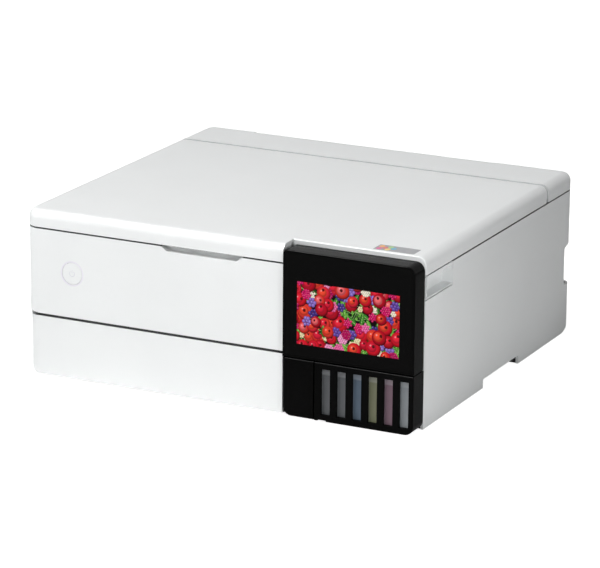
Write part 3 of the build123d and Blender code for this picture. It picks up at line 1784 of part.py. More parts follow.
# ---------------------------------------------------------------- paper cassette
def cassette_tray():
    outline = plan(cassette_left, cassette_right, inner_front, cassette_back, cassette_corner_radius)
    tray = upright(outline, cassette_bottom, cassette_top)
    tray -= block(
        cassette_inner_left,
        cassette_inner_right,
        inner_front + cassette_wall,
        cassette_back - cassette_wall,
        cassette_floor,
        cassette_top + 1,
    )
    tray -= block(
        cassette_inner_left,
        cassette_inner_right,
        cassette_back - cassette_wall - 1,
        cassette_back + 1,
        cassette_bottom + cassette_back_height,
        cassette_top + 1,
    )
    return tray + rod_z(guide_pinion_hub, paper_middle, guide_pinion_y, cassette_floor, rack_top)


def cassette_front():
    x0 = left + drawer_side_inset
    outer = plan(x0, right, front, rear, front_corner_radius)
    inner = plan(x0 + wall, right, inner_front, rear, front_corner_radius - wall)
    shell = upright(outer, drawer_bottom, slot_bottom) - upright(inner, drawer_bottom, slot_bottom)
    shell &= block(x0, white_front_right, front, side_front - joint_gap, drawer_bottom, slot_bottom)
    face = plan(x0, white_front_right, drawer_bottom, slot_bottom, drawer_bottom_radius, 1.0, 1.0)
    return shell & front_slab(face, front - 1, side_front)


# Raised paper plate with slots for the necks of the guides.
def paper_plate():
    x0, x1 = cassette_inner_left + plate_margin, cassette_inner_right - plate_margin
    y0 = end_guide_back - guide_thickness - 2 * plate_margin
    y1 = cassette_back - cassette_wall - plate_margin
    plate = block(x0, x1, y0, y1, plate_bottom, plate_top)
    for side in (-1, 1):
        outer = guide_x(side)
        inner_end = outer - side * (guide_thickness + guide_foot_length + guide_travel + plate_slot_side)
        outer_end = outer + side * plate_slot_side
        near, far = rack_span(side)
        plate -= block(
            min(inner_end, outer_end),
            max(inner_end, outer_end),
            near - plate_slot_side,
            far + plate_slot_side,
            plate_bottom - 1,
            plate_top + 1,
        )
    plate -= block(
        paper_middle - guide_neck / 2 - plate_slot_side,
        paper_middle + guide_neck / 2 + plate_slot_side,
        y0 - 1,
        end_guide_back + end_guide_travel + plate_slot_side,
        plate_bottom - 1,
        plate_top + 1,
    )
    edge = block(x0, x0 + plate_rail, y0, y1, cassette_floor, plate_bottom)
    return plate + edge + mirror(edge, about=Plane.YZ.offset(paper_middle))


# Outer face of a side guide; side is -1 on the left and 1 on the right.
def guide_x(side):
    return paper_middle + side * (paper_width / 2 + guide_thickness)


def rack_span(side):
    near = guide_pinion_y - side * rack_root
    far = near - side * rack_width
    return min(near, far), max(near, far)


def paper_guide(side):
    outer = guide_x(side)
    inner = outer - side * guide_thickness
    foot_end = inner - side * guide_foot_length
    far_end = paper_middle - side * (pinion_radius + rack_overrun)
    y0, y1 = rack_span(side)
    neck_top = plate_top + rack_gap
    guide = block(
        min(outer, inner),
        max(outer, inner),
        guide_pinion_y - guide_length / 2,
        guide_pinion_y + guide_length / 2,
        neck_top,
        guide_top,
    )
    guide += block(min(outer, foot_end), max(outer, foot_end), y0, y1, rack_bottom, neck_top + seam)
    x0, x1 = min(outer, far_end), max(outer, far_end)
    guide += block(x0, x1, y0, y1, rack_bottom, rack_top)
    pitch = pi * gear_module
    reach = int((x1 - x0) / pitch)
    for step in range(-reach, reach):
        x = paper_middle + (step + 0.5) * pitch
        if x0 + 1 < x < x1 - 1:
            guide += rack_tooth(x, side)
    return guide


def rack_tooth(x, side):
    root_y = guide_pinion_y - side * rack_root
    tip_y = guide_pinion_y - side * rack_tip
    half_root = tooth_root_share * pi * gear_module
    half_tip = tooth_tip_share * pi * gear_module
    points = ((x - half_root, root_y), (x - half_tip, tip_y), (x + half_tip, tip_y), (x + half_root, root_y))
    return upright(make_face(Polyline(*points, close=True)), rack_bottom, rack_top)


def guide_pinion():
    face = gear_face(guide_pinion_teeth, 0, guide_pinion_hub + shaft_clearance)
    return Pos(paper_middle, guide_pinion_y, rack_bottom) * extrude(face, rack_thickness)


def end_guide():
    y1 = end_guide_back
    y0 = y1 - guide_thickness
    half = end_guide_width / 2
    neck = guide_neck / 2
    neck_top = plate_top + rack_gap
    guide = block(paper_middle - half, paper_middle + half, y0, y1, neck_top, guide_top)
    guide += block(paper_middle - neck, paper_middle + neck, y0, y1, rack_bottom, neck_top + seam)
    foot = half / 2
    foot_end = y0 + guide_foot_length
    return guide + block(paper_middle - foot, paper_middle + foot, y0, foot_end, rack_bottom, rack_top)


# ---------------------------------------------------------------- output tray
def output_tray():
    leaf = block(leaf_x0, leaf_x1, leaf_y0, leaf_y1, leaf_bottom, leaf_top)
    return leaf - block(leaf_x0 + leaf_side, leaf_x1 - leaf_side, leaf_y0 - 1, leaf_y1 - leaf_side, 0, height)


def tray_extension():
    return block(
        leaf_x0 + leaf_side + slide_gap,
        leaf_x1 - leaf_side - slide_gap,
        leaf_y0,
        leaf_y1 - leaf_side - slide_gap,
        leaf_bottom,
        leaf_top,
    )


# ---------------------------------------------------------------- duplex unit and maintenance box
def duplex_unit():
    body = block(duplex_left, duplex_right, duplex_front, rear, duplex_bottom, duplex_top)
    plate = block(duplex_left, duplex_right, rear, rear + rear_proud, duplex_bottom, duplex_top)
    plate = fillet(edges_where(plate, lambda c: c.Y > rear + rear_proud - 0.01), duplex_edge_radius)
    x0, x1 = duplex_left + duplex_wall, duplex_right - duplex_wall
    turn = rod_x(turn_radius, x0, x1, duplex_front, (duplex_bottom + duplex_top) / 2)
    grip_top = duplex_top - duplex_grip_drop
    grip = block(
        paper_middle - duplex_grip_width / 2,
        paper_middle + duplex_grip_width / 2,
        rear - duplex_grip_depth,
        rear + rear_proud + 1,
        grip_top - duplex_grip_height,
        grip_top,
    )
    y0 = duplex_front + turn_radius + duplex_wall
    y1 = rear - duplex_grip_depth - duplex_wall
    return body + plate - turn - grip - block(x0, x1, y0, y1, duplex_bottom - 1, duplex_top - duplex_wall)


def maintenance_box():
    x0, x1 = box_left + wall, box_right - wall
    y0, y1 = box_front + wall, inner_rear - wall
    tank = block(x0, x1, box_front, inner_rear, box_bottom + wall, box_top - wall)
    return tank - block(x0 + wall, x1 - wall, y0, y1, box_bottom + 2 * wall, box_top)


def maintenance_pad():
    inset = 2 * wall + joint_gap
    y0, y1 = box_front + wall + joint_gap, inner_rear - wall - joint_gap
    return block(box_left + inset, box_right - inset, y0, y1, box_bottom + 2 * wall, box_top - 2 * wall)


def maintenance_cover():
    plate = block(box_left, box_right, inner_rear, rear, box_bottom, box_top)
    return fillet(edges_where(plate, lambda c: c.Y > rear - 0.01), box_edge_radius)


# ---------------------------------------------------------------- electrics
socket_places = (left + socket_left, right - socket_right)


# Hole in a socket, from a distance beside its middle.
def port(x0, port_width, port_depth, port_tall):
    z0, z1 = socket_height - port_tall, socket_height + port_tall
    return block(x0, x0 + port_width, rear - port_depth, rear + 1, z0, z1)


def rear_sockets():
    z0, z1 = socket_height - socket_tall, socket_height + socket_tall
    shells = []
    for x in socket_places:
        shells.append(block(x - socket_half, x + socket_half, rear - socket_depth, rear, z0, z1))
    inlet, data = shells
    x = socket_places[0]
    inlet -= port(x - inlet_half, 2 * inlet_half, inlet_depth, inlet_tall)
    for side in (-1, 1):
        pin_x = x + side * inlet_pin_offset
        inlet += rod_y(inlet_pin_radius, pin_x, rear - inlet_depth - 1, rear - 2, socket_height)
    x = socket_places[1]
    data -= port(x - network_width - joint_gap, network_width, network_depth, network_tall)
    data -= port(x + 5 * joint_gap, data_width, data_depth, data_tall)
    return group(inlet, data)


def power_supply():
    y0 = front + supply_inset
    y1 = y0 + supply_length
    x0, x1 = partition_right + supply_side_gap, right_wall_x0 - supply_side_gap
    skin = supply_skin
    unit = block(x0, x1, y0, y1, floor_top, supply_top)
    unit -= block(x0 + skin, x1 - skin, y0 + skin, y1 - skin, floor_top + skin, supply_top - skin)
    slot_x0, slot_x1 = x0 + supply_slot_side, x1 - supply_slot_side
    for step in range(supply_slot_count):
        y = y0 + supply_slot_side + step * supply_slot_pitch
        unit -= block(slot_x0, slot_x1, y, y + supply_slot_width, supply_top - skin - 1, supply_top + 1)
    return unit


# Upright board on the right; each component is a share along, a share up, a size and a height.
def main_board():
    x1 = inner_right - main_board_gap
    x0 = x1 - board_thickness
    y0 = front + main_board_inset
    tall = main_board_top - main_board_bottom
    board = block(x0, x1, y0, y0 + main_board_length, main_board_bottom, main_board_top)
    components = (
        (0.34, 0.53, 0.28, 2),
        (0.59, 0.41, 0.17, 1.5),
        (0.78, 0.71, 0.14, 4),
        (0.17, 0.18, 0.12, 5),
        (0.67, 0.14, 0.18, 3),
    )
    for along, up, size, rise in components:
        y = y0 + along * main_board_length
        z = main_board_bottom + up * tall
        half = size * tall / 2
        board += block(x0 - rise * board_thickness, x0, y - half, y + half, z - half, z + half)
    for y in (y0 + board_screw_inset, y0 + main_board_length - board_screw_inset):
        for z in (main_board_bottom + board_post_inset, main_board_top - board_post_inset):
            board += rod_x(board_post_radius, x1, inner_right, y, z)
    return board


def screw_places():
    high = casing_top - screw_drop
    between = (duplex_right + box_left) / 2
    return (
        (left + screw_left, high),
        (right - screw_right, high),
        (left + screw_side, screw_low),
        (between, screw_low),
    )


def casing_screws():
    screws = []
    long, short = screw_slot / 2, screw_slot_width / 2
    slot_y = rear - screw_sink / 2 - screw_head_gap
    for x, z in screw_places():
        head = rod_y(screw_head_radius, x, rear - screw_sink, rear - screw_head_gap / 2, z)
        cross = block(x - long, x + long, slot_y, rear, z - short, z + short)
        cross += block(x - short, x + short, slot_y, rear, z - long, z + long)
        shank = rod_y(screw_radius, x, rear - screw_sink - screw_length, rear - screw_sink, z)
        screws.append(head - cross + shank)
    return group(*screws)


# Wall round the finger notch, standing on the base.
def notch_liner():
    x0 = box_right + base_wall
    corner = rear_corner_radius - wall
    inside = upright(plan(inner_left, inner_right, inner_front, inner_rear, 0, 0, corner, corner), 0, height)
    y0 = rear - finger_notch_depth - notch_liner_wall
    top = finger_notch_top + notch_liner_wall
    column = block(x0 - notch_liner_wall, inner_right, y0, inner_rear, floor_top, top)
    column &= heeled(inner_rear, foot_height, heel_radius - heel_inset)
    return (column & inside) - finger_notch()


nodes = {
    "base_pan": lambda: base_pan() + notch_liner(),
    "rubber_feet": rubber_feet,
    "left_side_cover": left_side_cover,
    "right_side_cover": right_side_cover,
    "upper_front_panel": upper_front_panel,
    "power_light_ring": power_light_ring,
    "power_button": power_button,
    "rear_panel": rear_panel,
    "rear_top_cover": rear_top_cover,
    "paper_support": paper_support,
    "support_extension": support_extension,
    "document_cover": document_cover,
    "document_mat": lambda: group(document_mat(), cover_liner()),
    "scanner_tub": scanner_tub,
    "scanner_glass": scanner_glass,
    "scan_rod": scan_rod,
    "scan_bar": scan_bar,
    "panel_housing": panel_housing,
    "touch_glass": touch_glass,
    "lcd_screen": lcd_screen,
    "panel_mount": panel_mount,
    "tank_window_cover": tank_window_cover,
    "card_door": card_door,
    "card_reader": card_reader,
    "ink_tanks": ink_tanks,
    "inks": inks,
    "tank_caps": tank_caps,
    "output_tray": output_tray,
    "tray_extension": tray_extension,
    "cassette_tray": cassette_tray,
    "cassette_front": cassette_front,
    "paper_plate": paper_plate,
    "guide_left": lambda: paper_guide(-1),
    "guide_right": lambda: paper_guide(1),
    "guide_pinion": guide_pinion,
    "end_guide": end_guide,
    "main_frame": main_frame,
    "steel_shafts": steel_shafts,
    "paper_path": lambda: group(platen(), output_deck()),
    "feed_roller": lambda: feed_roller() + feed_gear(),
    "eject_roller": eject_roller,
    "idler_gear": idler_gear,
    "motor_pinion": motor_pinion,
    "pickup_arm": pickup_arm,
    "pickup_roller": pickup_roller,
    "carriage": carriage,
    "print_head": print_head,
    "carriage_belt": carriage_belt,
    "idler_pulley": idler_pulley,
    "drive_pulley": drive_pulley,
    "drive_motors": lambda: group(carriage_motor(), feed_motor()),
    "hold_down_bars": lambda: group(star_wheel_bar(), pinch_roller_bar()),
    "capping_station": capping_station,
    "duplex_unit": duplex_unit,
    "maintenance_box": lambda: group(maintenance_box(), maintenance_pad()),
    "maintenance_cover": maintenance_cover,
    "rear_sockets": rear_sockets,
    "power_supply": power_supply,
    "circuit_boards": lambda: group(main_board(), button_board()),
    "casing_screws": casing_screws,
}

os.makedirs("parts", exist_ok=True)
for name, make in nodes.items():
    export_step(make(), f"parts/{name}.step")
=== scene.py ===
import math
import random

import bmesh
import bpy
import numpy as np
from mathutils import Matrix, Vector


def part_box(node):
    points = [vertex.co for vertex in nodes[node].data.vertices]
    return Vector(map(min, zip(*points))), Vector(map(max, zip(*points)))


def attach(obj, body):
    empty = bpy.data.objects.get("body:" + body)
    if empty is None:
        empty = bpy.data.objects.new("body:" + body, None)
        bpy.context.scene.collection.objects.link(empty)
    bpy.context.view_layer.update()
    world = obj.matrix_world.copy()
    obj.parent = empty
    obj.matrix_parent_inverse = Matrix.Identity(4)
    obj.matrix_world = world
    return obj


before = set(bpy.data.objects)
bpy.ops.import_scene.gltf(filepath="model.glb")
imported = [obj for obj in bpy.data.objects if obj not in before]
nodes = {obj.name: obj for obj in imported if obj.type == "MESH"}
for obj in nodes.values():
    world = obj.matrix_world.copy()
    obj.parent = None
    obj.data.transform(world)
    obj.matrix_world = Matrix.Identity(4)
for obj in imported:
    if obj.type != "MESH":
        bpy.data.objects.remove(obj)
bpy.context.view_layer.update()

mm = 0.001


# A node's lowest and highest corners, in millimetres
def cornersOf(name):
    return [[value / mm for value in corner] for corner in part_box(name)]


# A colour as it is picked on screen, turned into the linear one that a shader takes
def toLinear(hexColour):
    channels = [int(hexColour[i:i + 2], 16) / 255 for i in (1, 3, 5)]
    return [c / 12.92 if c <= 0.04045 else ((c + 0.055) / 1.055) ** 2.4 for c in channels] + [1.0]


def addNode(tree, kind, settings=None, inputs=None):
    node = tree.nodes.new(kind)
    for name, value in (settings or {}).items():
        setattr(node, name, value)
    for name, value in (inputs or {}).items():
        if isinstance(value, bpy.types.NodeSocket):
            tree.links.new(value, node.inputs[name])
        else:
            node.inputs[name].default_value = value
    return node


def newTree(name):
    material = bpy.data.materials.new(name)
    material.use_nodes = True
    material.node_tree.nodes.clear()
    return material, material.node_tree


def closeTree(tree, shader):
    addNode(tree, "ShaderNodeOutputMaterial", None, {"Surface": shader.outputs[0]})


# 1 inside a box given in millimetres and 0 outside it
def insideBox(tree, place, low, high):
    middle = [(a + b) / 2 * mm for a, b in zip(low, high)]
    reach = [abs(b - a) / 2 * mm for a, b in zip(low, high)]
    away = addNode(tree, "ShaderNodeVectorMath", {"operation": "SUBTRACT"}, {0: place, 1: middle})
    away = addNode(tree, "ShaderNodeVectorMath", {"operation": "ABSOLUTE"}, {0: away.outputs[0]})
    away = addNode(tree, "ShaderNodeVectorMath", {"operation": "SUBTRACT"}, {0: away.outputs[0], 1: reach})
    parts = addNode(tree, "ShaderNodeSeparateXYZ", None, {0: away.outputs[0]})
    most = addNode(tree, "ShaderNodeMath", {"operation": "MAXIMUM"},
                   {0: parts.outputs[0], 1: parts.outputs[1]})
    most = addNode(tree, "ShaderNodeMath", {"operation": "MAXIMUM"},
                   {0: most.outputs[0], 1: parts.outputs[2]})
    inside = addNode(tree, "ShaderNodeMath", {"operation": "LESS_THAN"}, {0: most.outputs[0], 1: 0.0})
    return inside.outputs[0]


# Two close colours drift into each other over driftMm, and a grain of grainMm lifts the surface by
# grainDepthMm. Each zone is a box of another colour, such as an insert moulded in with the part.
def surfaceMaterial(look):
    material, tree = newTree(look["name"])
    place = addNode(tree, "ShaderNodeTexCoord").outputs["Object"]
    drift = addNode(tree, "ShaderNodeTexNoise", None,
                    {"Vector": place, "Scale": 1 / (look["driftMm"] * mm), "Detail": 2.0, "Roughness": 0.5})
    ramp = addNode(tree, "ShaderNodeValToRGB", None, {"Fac": drift.outputs["Fac"]})
    ramp.color_ramp.elements[0].position = 0.35
    ramp.color_ramp.elements[0].color = toLinear(look["shade"])
    ramp.color_ramp.elements[1].position = 0.65
    ramp.color_ramp.elements[1].color = toLinear(look["colour"])
    colour = ramp.outputs["Color"]
    for low, high, zoneColour in look.get("zones", ()):
        mask = insideBox(tree, place, low, high)
        colour = addNode(tree, "ShaderNodeMix", {"data_type": "RGBA"},
                         {"Factor": mask, 6: colour, 7: toLinear(zoneColour)}).outputs[2]
    grain = addNode(tree, "ShaderNodeTexNoise", None,
                    {"Vector": place, "Scale": 1 / (look["grainMm"] * mm), "Detail": 3.0, "Roughness": 0.6})
    bump = addNode(tree, "ShaderNodeBump", None,
                   {"Height": grain.outputs["Fac"], "Strength": 0.5, "Distance": look["grainDepthMm"] * mm})
    roughSpread = look.get("roughSpread", 0.03)
    rough = addNode(tree, "ShaderNodeMapRange", None,
                    {"Value": grain.outputs["Fac"], "To Min": look["roughness"] - roughSpread,
                     "To Max": look["roughness"] + roughSpread})
    inputs = {"Base Color": colour, "Roughness": rough.outputs[0], "Normal": bump.outputs[0]}
    inputs.update(look.get("sockets", {}))
    closeTree(tree, addNode(tree, "ShaderNodeBsdfPrincipled", None, inputs))
    return material


def dress(material, *names):
    for name in names:
        slots = nodes[name].data.materials
        slots.clear()
        slots.append(material)


# Injection-moulded ABS: an even satin white, its spark-eroded grain too fine to see except in highlights
whiteLook = {"name": "absWhiteMoulded", "colour": "#ECEEEE", "shade": "#EAECEC", "driftMm": 90,
             "grainMm": 0.8, "grainDepthMm": 0.01, "roughness": 0.42, "sockets": {"IOR": 1.53}}
absWhiteMoulded = surfaceMaterial(whiteLook)

# The same white, with painted shade: the lips inside its seams are painted dark grey so that each seam reads
# as a dark line of shadow. The two zones of the casing are painted shade in the seam under the cover and
# painted shade in the slot over the cassette.
paintedSeamShade, paintedSlotShade, paintedLidGapShade = "#343537", "#1C1D1E", "#C4C6C7"
casingLook = dict(whiteLook, name="absWhiteCasingShadedSeams", zones=[
    ((-202, -186, 143.8), (202, 186, 145.6), paintedSeamShade),
    ((-200.9, -185.2, 58.9), (69.4, -182.0, 62.0), paintedSlotShade)])
absWhiteCasingShadedSeams = surfaceMaterial(casingLook)
# The cover's lower edge at the seam is painted dark grey: painted shade in the seam under the cover
coverLook = dict(whiteLook, name="absWhiteCoverShadedSeam", zones=[
    ((-202, -186, 144.8), (202, 118, 145.3), paintedSeamShade)])
absWhiteCoverShadedSeam = surfaceMaterial(coverLook)
# The strip's face towards the lid is painted grey: painted shade in the gap behind the lid
stripLook = dict(whiteLook, name="absWhiteStripShadedGap", zones=[
    ((-201, 120.5, 145.0), (201, 121.6, 161.9), paintedLidGapShade)])
absWhiteStripShadedGap = surfaceMaterial(stripLook)

# Moulded ABS from a polished tool, with a coat that keeps reflections low: deep black, thin bright edges
blackGlossLook = {"name": "absBlackPolished", "colour": "#0A0A0A", "shade": "#080808", "driftMm": 60,
                  "grainMm": 1.5, "grainDepthMm": 0.002, "roughness": 0.12,
                  "sockets": {"IOR": 1.5, "Specular IOR Level": 0.02}}
absBlackPolished = surfaceMaterial(blackGlossLook)

# Moulded ABS, textured: a soft charcoal with no clear reflection
blackLook = {"name": "absBlackMoulded", "colour": "#1A1B1C", "shade": "#161718", "driftMm": 50,
             "grainMm": 0.7, "grainDepthMm": 0.02, "roughness": 0.55, "sockets": {"IOR": 1.53}}
absBlackMoulded = surfaceMaterial(blackLook)

# Black moulded tub with white inserts where the fingers lift it
gripLow, gripHigh = (-202, -163.4, 122.4), (-190, -105.9, 145)
tubLook = dict(blackLook, name="absBlackTub", zones=[
    (gripLow, gripHigh, whiteLook["colour"]),
    ((190, gripLow[1], gripLow[2]), (202, gripHigh[1], gripHigh[2]), whiteLook["colour"])])
absTub = surfaceMaterial(tubLook)

# Moulded ABS in the grey of office machines: satin, slightly lighter than the black parts
greyLook = {"name": "absGreyMoulded", "colour": "#4A4C4E", "shade": "#454749", "driftMm": 50,
            "grainMm": 0.7, "grainDepthMm": 0.02, "roughness": 0.48, "sockets": {"IOR": 1.53}}
absGreyMoulded = surfaceMaterial(greyLook)

# Zinc-plated sheet and turned steel: bright grey with the cloudy spangle of the plating
steelLook = {"name": "steelZincPlated", "colour": "#C2C4C6", "shade": "#A9ACAF", "driftMm": 8,
             "grainMm": 1.2, "grainDepthMm": 0.01, "roughness": 0.32, "roughSpread": 0.08,
             "sockets": {"Metallic": 1.0}}
steelZincPlated = surfaceMaterial(steelLook)

# Moulded rubber: dull and nearly black, with a dusty grain
rubberLook = {"name": "rubberMoulded", "colour": "#1B1B1C", "shade": "#171718", "driftMm": 20, "grainMm": 0.5,
              "grainDepthMm": 0.03, "roughness": 0.75, "sockets": {"IOR": 1.52}}
rubberMoulded = surfaceMaterial(rubberLook)

# Moulded acetal: the creamy, slightly waxy white of gears
acetalLook = {"name": "acetalMoulded", "colour": "#E4E3DC", "shade": "#DEDDD5", "driftMm": 15, "grainMm": 0.6,
              "grainDepthMm": 0.01, "roughness": 0.35, "sockets": {"IOR": 1.48}}
acetalMoulded = surfaceMaterial(acetalLook)

# Calendered white sheet over foam: flat and matt, for an even background behind a scanned page
padLook = {"name": "matSheetCalendered", "colour": "#F2F2F0", "shade": "#EDEDEA", "driftMm": 40,
           "grainMm": 0.9, "grainDepthMm": 0.03, "roughness": 0.6, "sockets": {"IOR": 1.5}}
matSheetCalendered = surfaceMaterial(padLook)

# Float glass: clear and flat, with sharp reflections
glassLook = {"name": "glassFloat", "colour": "#F4F8F7", "shade": "#F2F7F6", "driftMm": 80, "grainMm": 5,
             "grainDepthMm": 0.0005, "roughness": 0.03, "roughSpread": 0.01,
             "sockets": {"IOR": 1.52, "Transmission Weight": 1.0}}
glassFloat = surfaceMaterial(glassLook)

# Glass printed black on its back and coated against reflections: flatter than the frame around it, and
# softer in what it reflects
coverGlassLook = {"name": "glassPrintedBlack", "colour": "#080808", "shade": "#070707", "driftMm": 60,
                  "grainMm": 3, "grainDepthMm": 0.0005, "roughness": 0.2, "roughSpread": 0.01,
                  "sockets": {"IOR": 1.52, "Specular IOR Level": 0.035}}
glassPrintedBlack = surfaceMaterial(coverGlassLook)

# Moulded polycarbonate light guide: unlit, it is the cover's white with a breath of violet
ringLook = {"name": "polycarbonateOpal", "colour": "#E9E7EE", "shade": "#E7E5ED", "driftMm": 10,
            "grainMm": 0.6, "grainDepthMm": 0.005, "roughness": 0.35, "sockets": {"IOR": 1.58}}
polycarbonateOpal = surfaceMaterial(ringLook)

# Ground steel coated with ceramic grit, to grip paper: a dull grey length, with a creamy acetal gear at one
# end and bare steel beyond the coat
rollerSettings = {"gearMm": 5.0, "coatMm": (-186, 92), "coatColour": "#6E6F70", "marginMm": 1}
rollerLow, rollerHigh = cornersOf("feed_roller")
gearEnd = rollerLow[0] + rollerSettings["gearMm"]
rollerLow = [value - rollerSettings["marginMm"] for value in rollerLow]
rollerHigh = [value + rollerSettings["marginMm"] for value in rollerHigh]
coatStart, coatEnd = rollerSettings["coatMm"]
feedLook = dict(steelLook, name="steelCeramicCoated", sockets={"Metallic": 0.4}, zones=[
    (rollerLow, (gearEnd, *rollerHigh[1:]), acetalLook["colour"]),
    ((coatStart, *rollerLow[1:]), (coatEnd, *rollerHigh[1:]), rollerSettings["coatColour"])])
steelCeramicCoated = surfaceMaterial(feedLook)

# Glass-fibre board under green lacquer; what stands proud of its inner face is black moulded chips
chipFace = cornersOf("circuit_boards")[1][0] - 5.2
boardLook = {"name": "boardGlassFibre", "colour": "#1E5A34", "shade": "#184C2C", "driftMm": 12,
             "grainMm": 0.8, "grainDepthMm": 0.02, "roughness": 0.4, "sockets": {"IOR": 1.55},
             "zones": [((150, -100, 10), (chipFace, 110, 110), "#161717")]}
boardGlassFibre = surfaceMaterial(boardLook)

# Six inks side by side, dulled by the tank's milky wall, which is lighter above the ink; along the
# sides of each window the wall is lightened by a painted highlight
inkLook = {"colours": ("#4C4F52", "#505356", "#48596A", "#6C6E54", "#705764", "#83888C"),
           "firstMm": 114.35, "pitchMm": 15.6, "levelMm": 45.0, "windowHalfMm": 3.5, "emptyLift": 0.16,
           "sidePaintedHighlight": 0.07, "emptyWall": "#E6EAEE", "inkCloudMm": 12, "wallCloudMm": 7}


# Position along x as 0 to 1 over all the tanks, then as 0 to 1 within each, then the height
def alongTanks(tree, place, look):
    count = len(look["colours"])
    parts = addNode(tree, "ShaderNodeSeparateXYZ", None, {0: place})
    first = (look["firstMm"] - look["pitchMm"] / 2) * mm
    last = first + count * look["pitchMm"] * mm
    along = addNode(tree, "ShaderNodeMapRange", None,
                    {"Value": parts.outputs[0], "From Min": first, "From Max": last}).outputs[0]
    within = addNode(tree, "ShaderNodeMath", {"operation": "MULTIPLY"}, {0: along, 1: float(count)})
    within = addNode(tree, "ShaderNodeMath", {"operation": "FRACT"}, {0: within.outputs[0]})
    return along, within.outputs[0], parts.outputs[2]


def inkColours(tree, along, look):
    ramp = addNode(tree, "ShaderNodeValToRGB", None, {"Fac": along})
    ramp.color_ramp.interpolation = "CONSTANT"
    stops = ramp.color_ramp.elements
    stops.remove(stops[1])
    for index, colour in enumerate(look["colours"]):
        stop = stops[0] if index == 0 else stops.new(index / len(look["colours"]))
        stop.color = toLinear(colour)
    return ramp.outputs["Color"]


# Liquid ink: one colour for each tank, darker in slow clouds where pigment settles
def inkMaterial(look):
    material, tree = newTree("inkLiquid")
    place = addNode(tree, "ShaderNodeTexCoord").outputs["Object"]
    colour = inkColours(tree, alongTanks(tree, place, look)[0], look)
    cloud = addNode(tree, "ShaderNodeTexNoise", None,
                    {"Vector": place, "Scale": 1 / (look["inkCloudMm"] * mm), "Detail": 2.0})
    value = addNode(tree, "ShaderNodeMapRange", None,
                    {"Value": cloud.outputs["Fac"], "To Min": 0.8, "To Max": 1.0})
    tinted = addNode(tree, "ShaderNodeHueSaturation", None, {"Color": colour, "Value": value.outputs[0]})
    closeTree(tree, addNode(tree, "ShaderNodeBsdfPrincipled", None,
                            {"Base Color": tinted.outputs[0], "Roughness": 0.25, "IOR": 1.35}))
    return material


# Blow-moulded polypropylene over ink: a soft, waxy colour that fades lighter where the tank is empty
def tankMaterial(look):
    material, tree = newTree("polypropyleneBlown")
    place = addNode(tree, "ShaderNodeTexCoord").outputs["Object"]
    along, within, rise = alongTanks(tree, place, look)
    colour = inkColours(tree, along, look)
    level = look["levelMm"] * mm
    empty = addNode(tree, "ShaderNodeMapRange", None,
                    {"Value": rise, "From Min": level - 0.5 * mm, "From Max": level + mm,
                     "To Min": 0.0, "To Max": look["emptyLift"]})
    # Towards the sides of each window the colour is lifted towards the pale wall: a painted highlight
    off = addNode(tree, "ShaderNodeMath", {"operation": "SUBTRACT"}, {0: within, 1: 0.5})
    off = addNode(tree, "ShaderNodeMath", {"operation": "ABSOLUTE"}, {0: off.outputs[0]})
    reach = look["windowHalfMm"] / look["pitchMm"]
    side = addNode(tree, "ShaderNodeMapRange", None,
                   {"Value": off.outputs[0], "From Min": reach, "From Max": reach + 0.02,
                    "To Min": 0.0, "To Max": look["sidePaintedHighlight"]})
    lift = addNode(tree, "ShaderNodeMath", {"operation": "ADD"}, {0: empty.outputs[0], 1: side.outputs[0]})
    cloud = addNode(tree, "ShaderNodeTexNoise", None,
                    {"Vector": place, "Scale": 1 / (look["wallCloudMm"] * mm), "Detail": 2.0})
    value = addNode(tree, "ShaderNodeMapRange", None,
                    {"Value": cloud.outputs["Fac"], "To Min": 0.93, "To Max": 1.07})
    tinted = addNode(tree, "ShaderNodeHueSaturation", None, {"Color": colour, "Value": value.outputs[0]})
    milky = addNode(tree, "ShaderNodeMix", {"data_type": "RGBA"},
                    {"Factor": lift.outputs[0], 6: tinted.outputs[0], 7: toLinear(look["emptyWall"])})
    closeTree(tree, addNode(tree, "ShaderNodeBsdfPrincipled", None,
                            {"Base Color": milky.outputs[2], "Roughness": 0.42, "IOR": 1.49}))
    return material


inkLiquid = inkMaterial(inkLook)
polypropyleneBlown = tankMaterial(inkLook)

dress(absWhiteMoulded, "power_button", "rear_panel", "paper_support", "support_extension",
      "maintenance_cover")
dress(absWhiteCoverShadedSeam, "document_cover")
dress(absWhiteCasingShadedSeams, "left_side_cover", "right_side_cover", "upper_front_panel", "cassette_front")
dress(absWhiteStripShadedGap, "rear_top_cover")
dress(absBlackPolished, "panel_housing", "tank_window_cover", "card_door")
dress(absTub, "scanner_tub")
dress(absBlackMoulded, "base_pan", "scan_bar", "panel_mount", "card_reader", "cassette_tray", "paper_path",
      "pickup_arm", "carriage", "hold_down_bars", "duplex_unit", "rear_sockets", "output_tray",
      "tray_extension")
dress(absGreyMoulded, "tank_caps", "paper_plate", "guide_left", "guide_right", "end_guide", "print_head",
      "capping_station", "maintenance_box", "power_supply")
dress(steelZincPlated, "scan_rod", "main_frame", "steel_shafts", "eject_roller", "drive_motors",
      "casing_screws")
dress(steelCeramicCoated, "feed_roller")
dress(rubberMoulded, "rubber_feet", "pickup_roller", "carriage_belt")
dress(acetalMoulded, "guide_pinion", "idler_gear", "motor_pinion", "idler_pulley", "drive_pulley")
dress(boardGlassFibre, "circuit_boards")
dress(matSheetCalendered, "document_mat")
dress(polypropyleneBlown, "ink_tanks")
dress(inkLiquid, "inks")
dress(polycarbonateOpal, "power_light_ring")
dress(glassFloat, "scanner_glass")
dress(glassPrintedBlack, "touch_glass", "lcd_screen")
print("materials on the packed nodes")


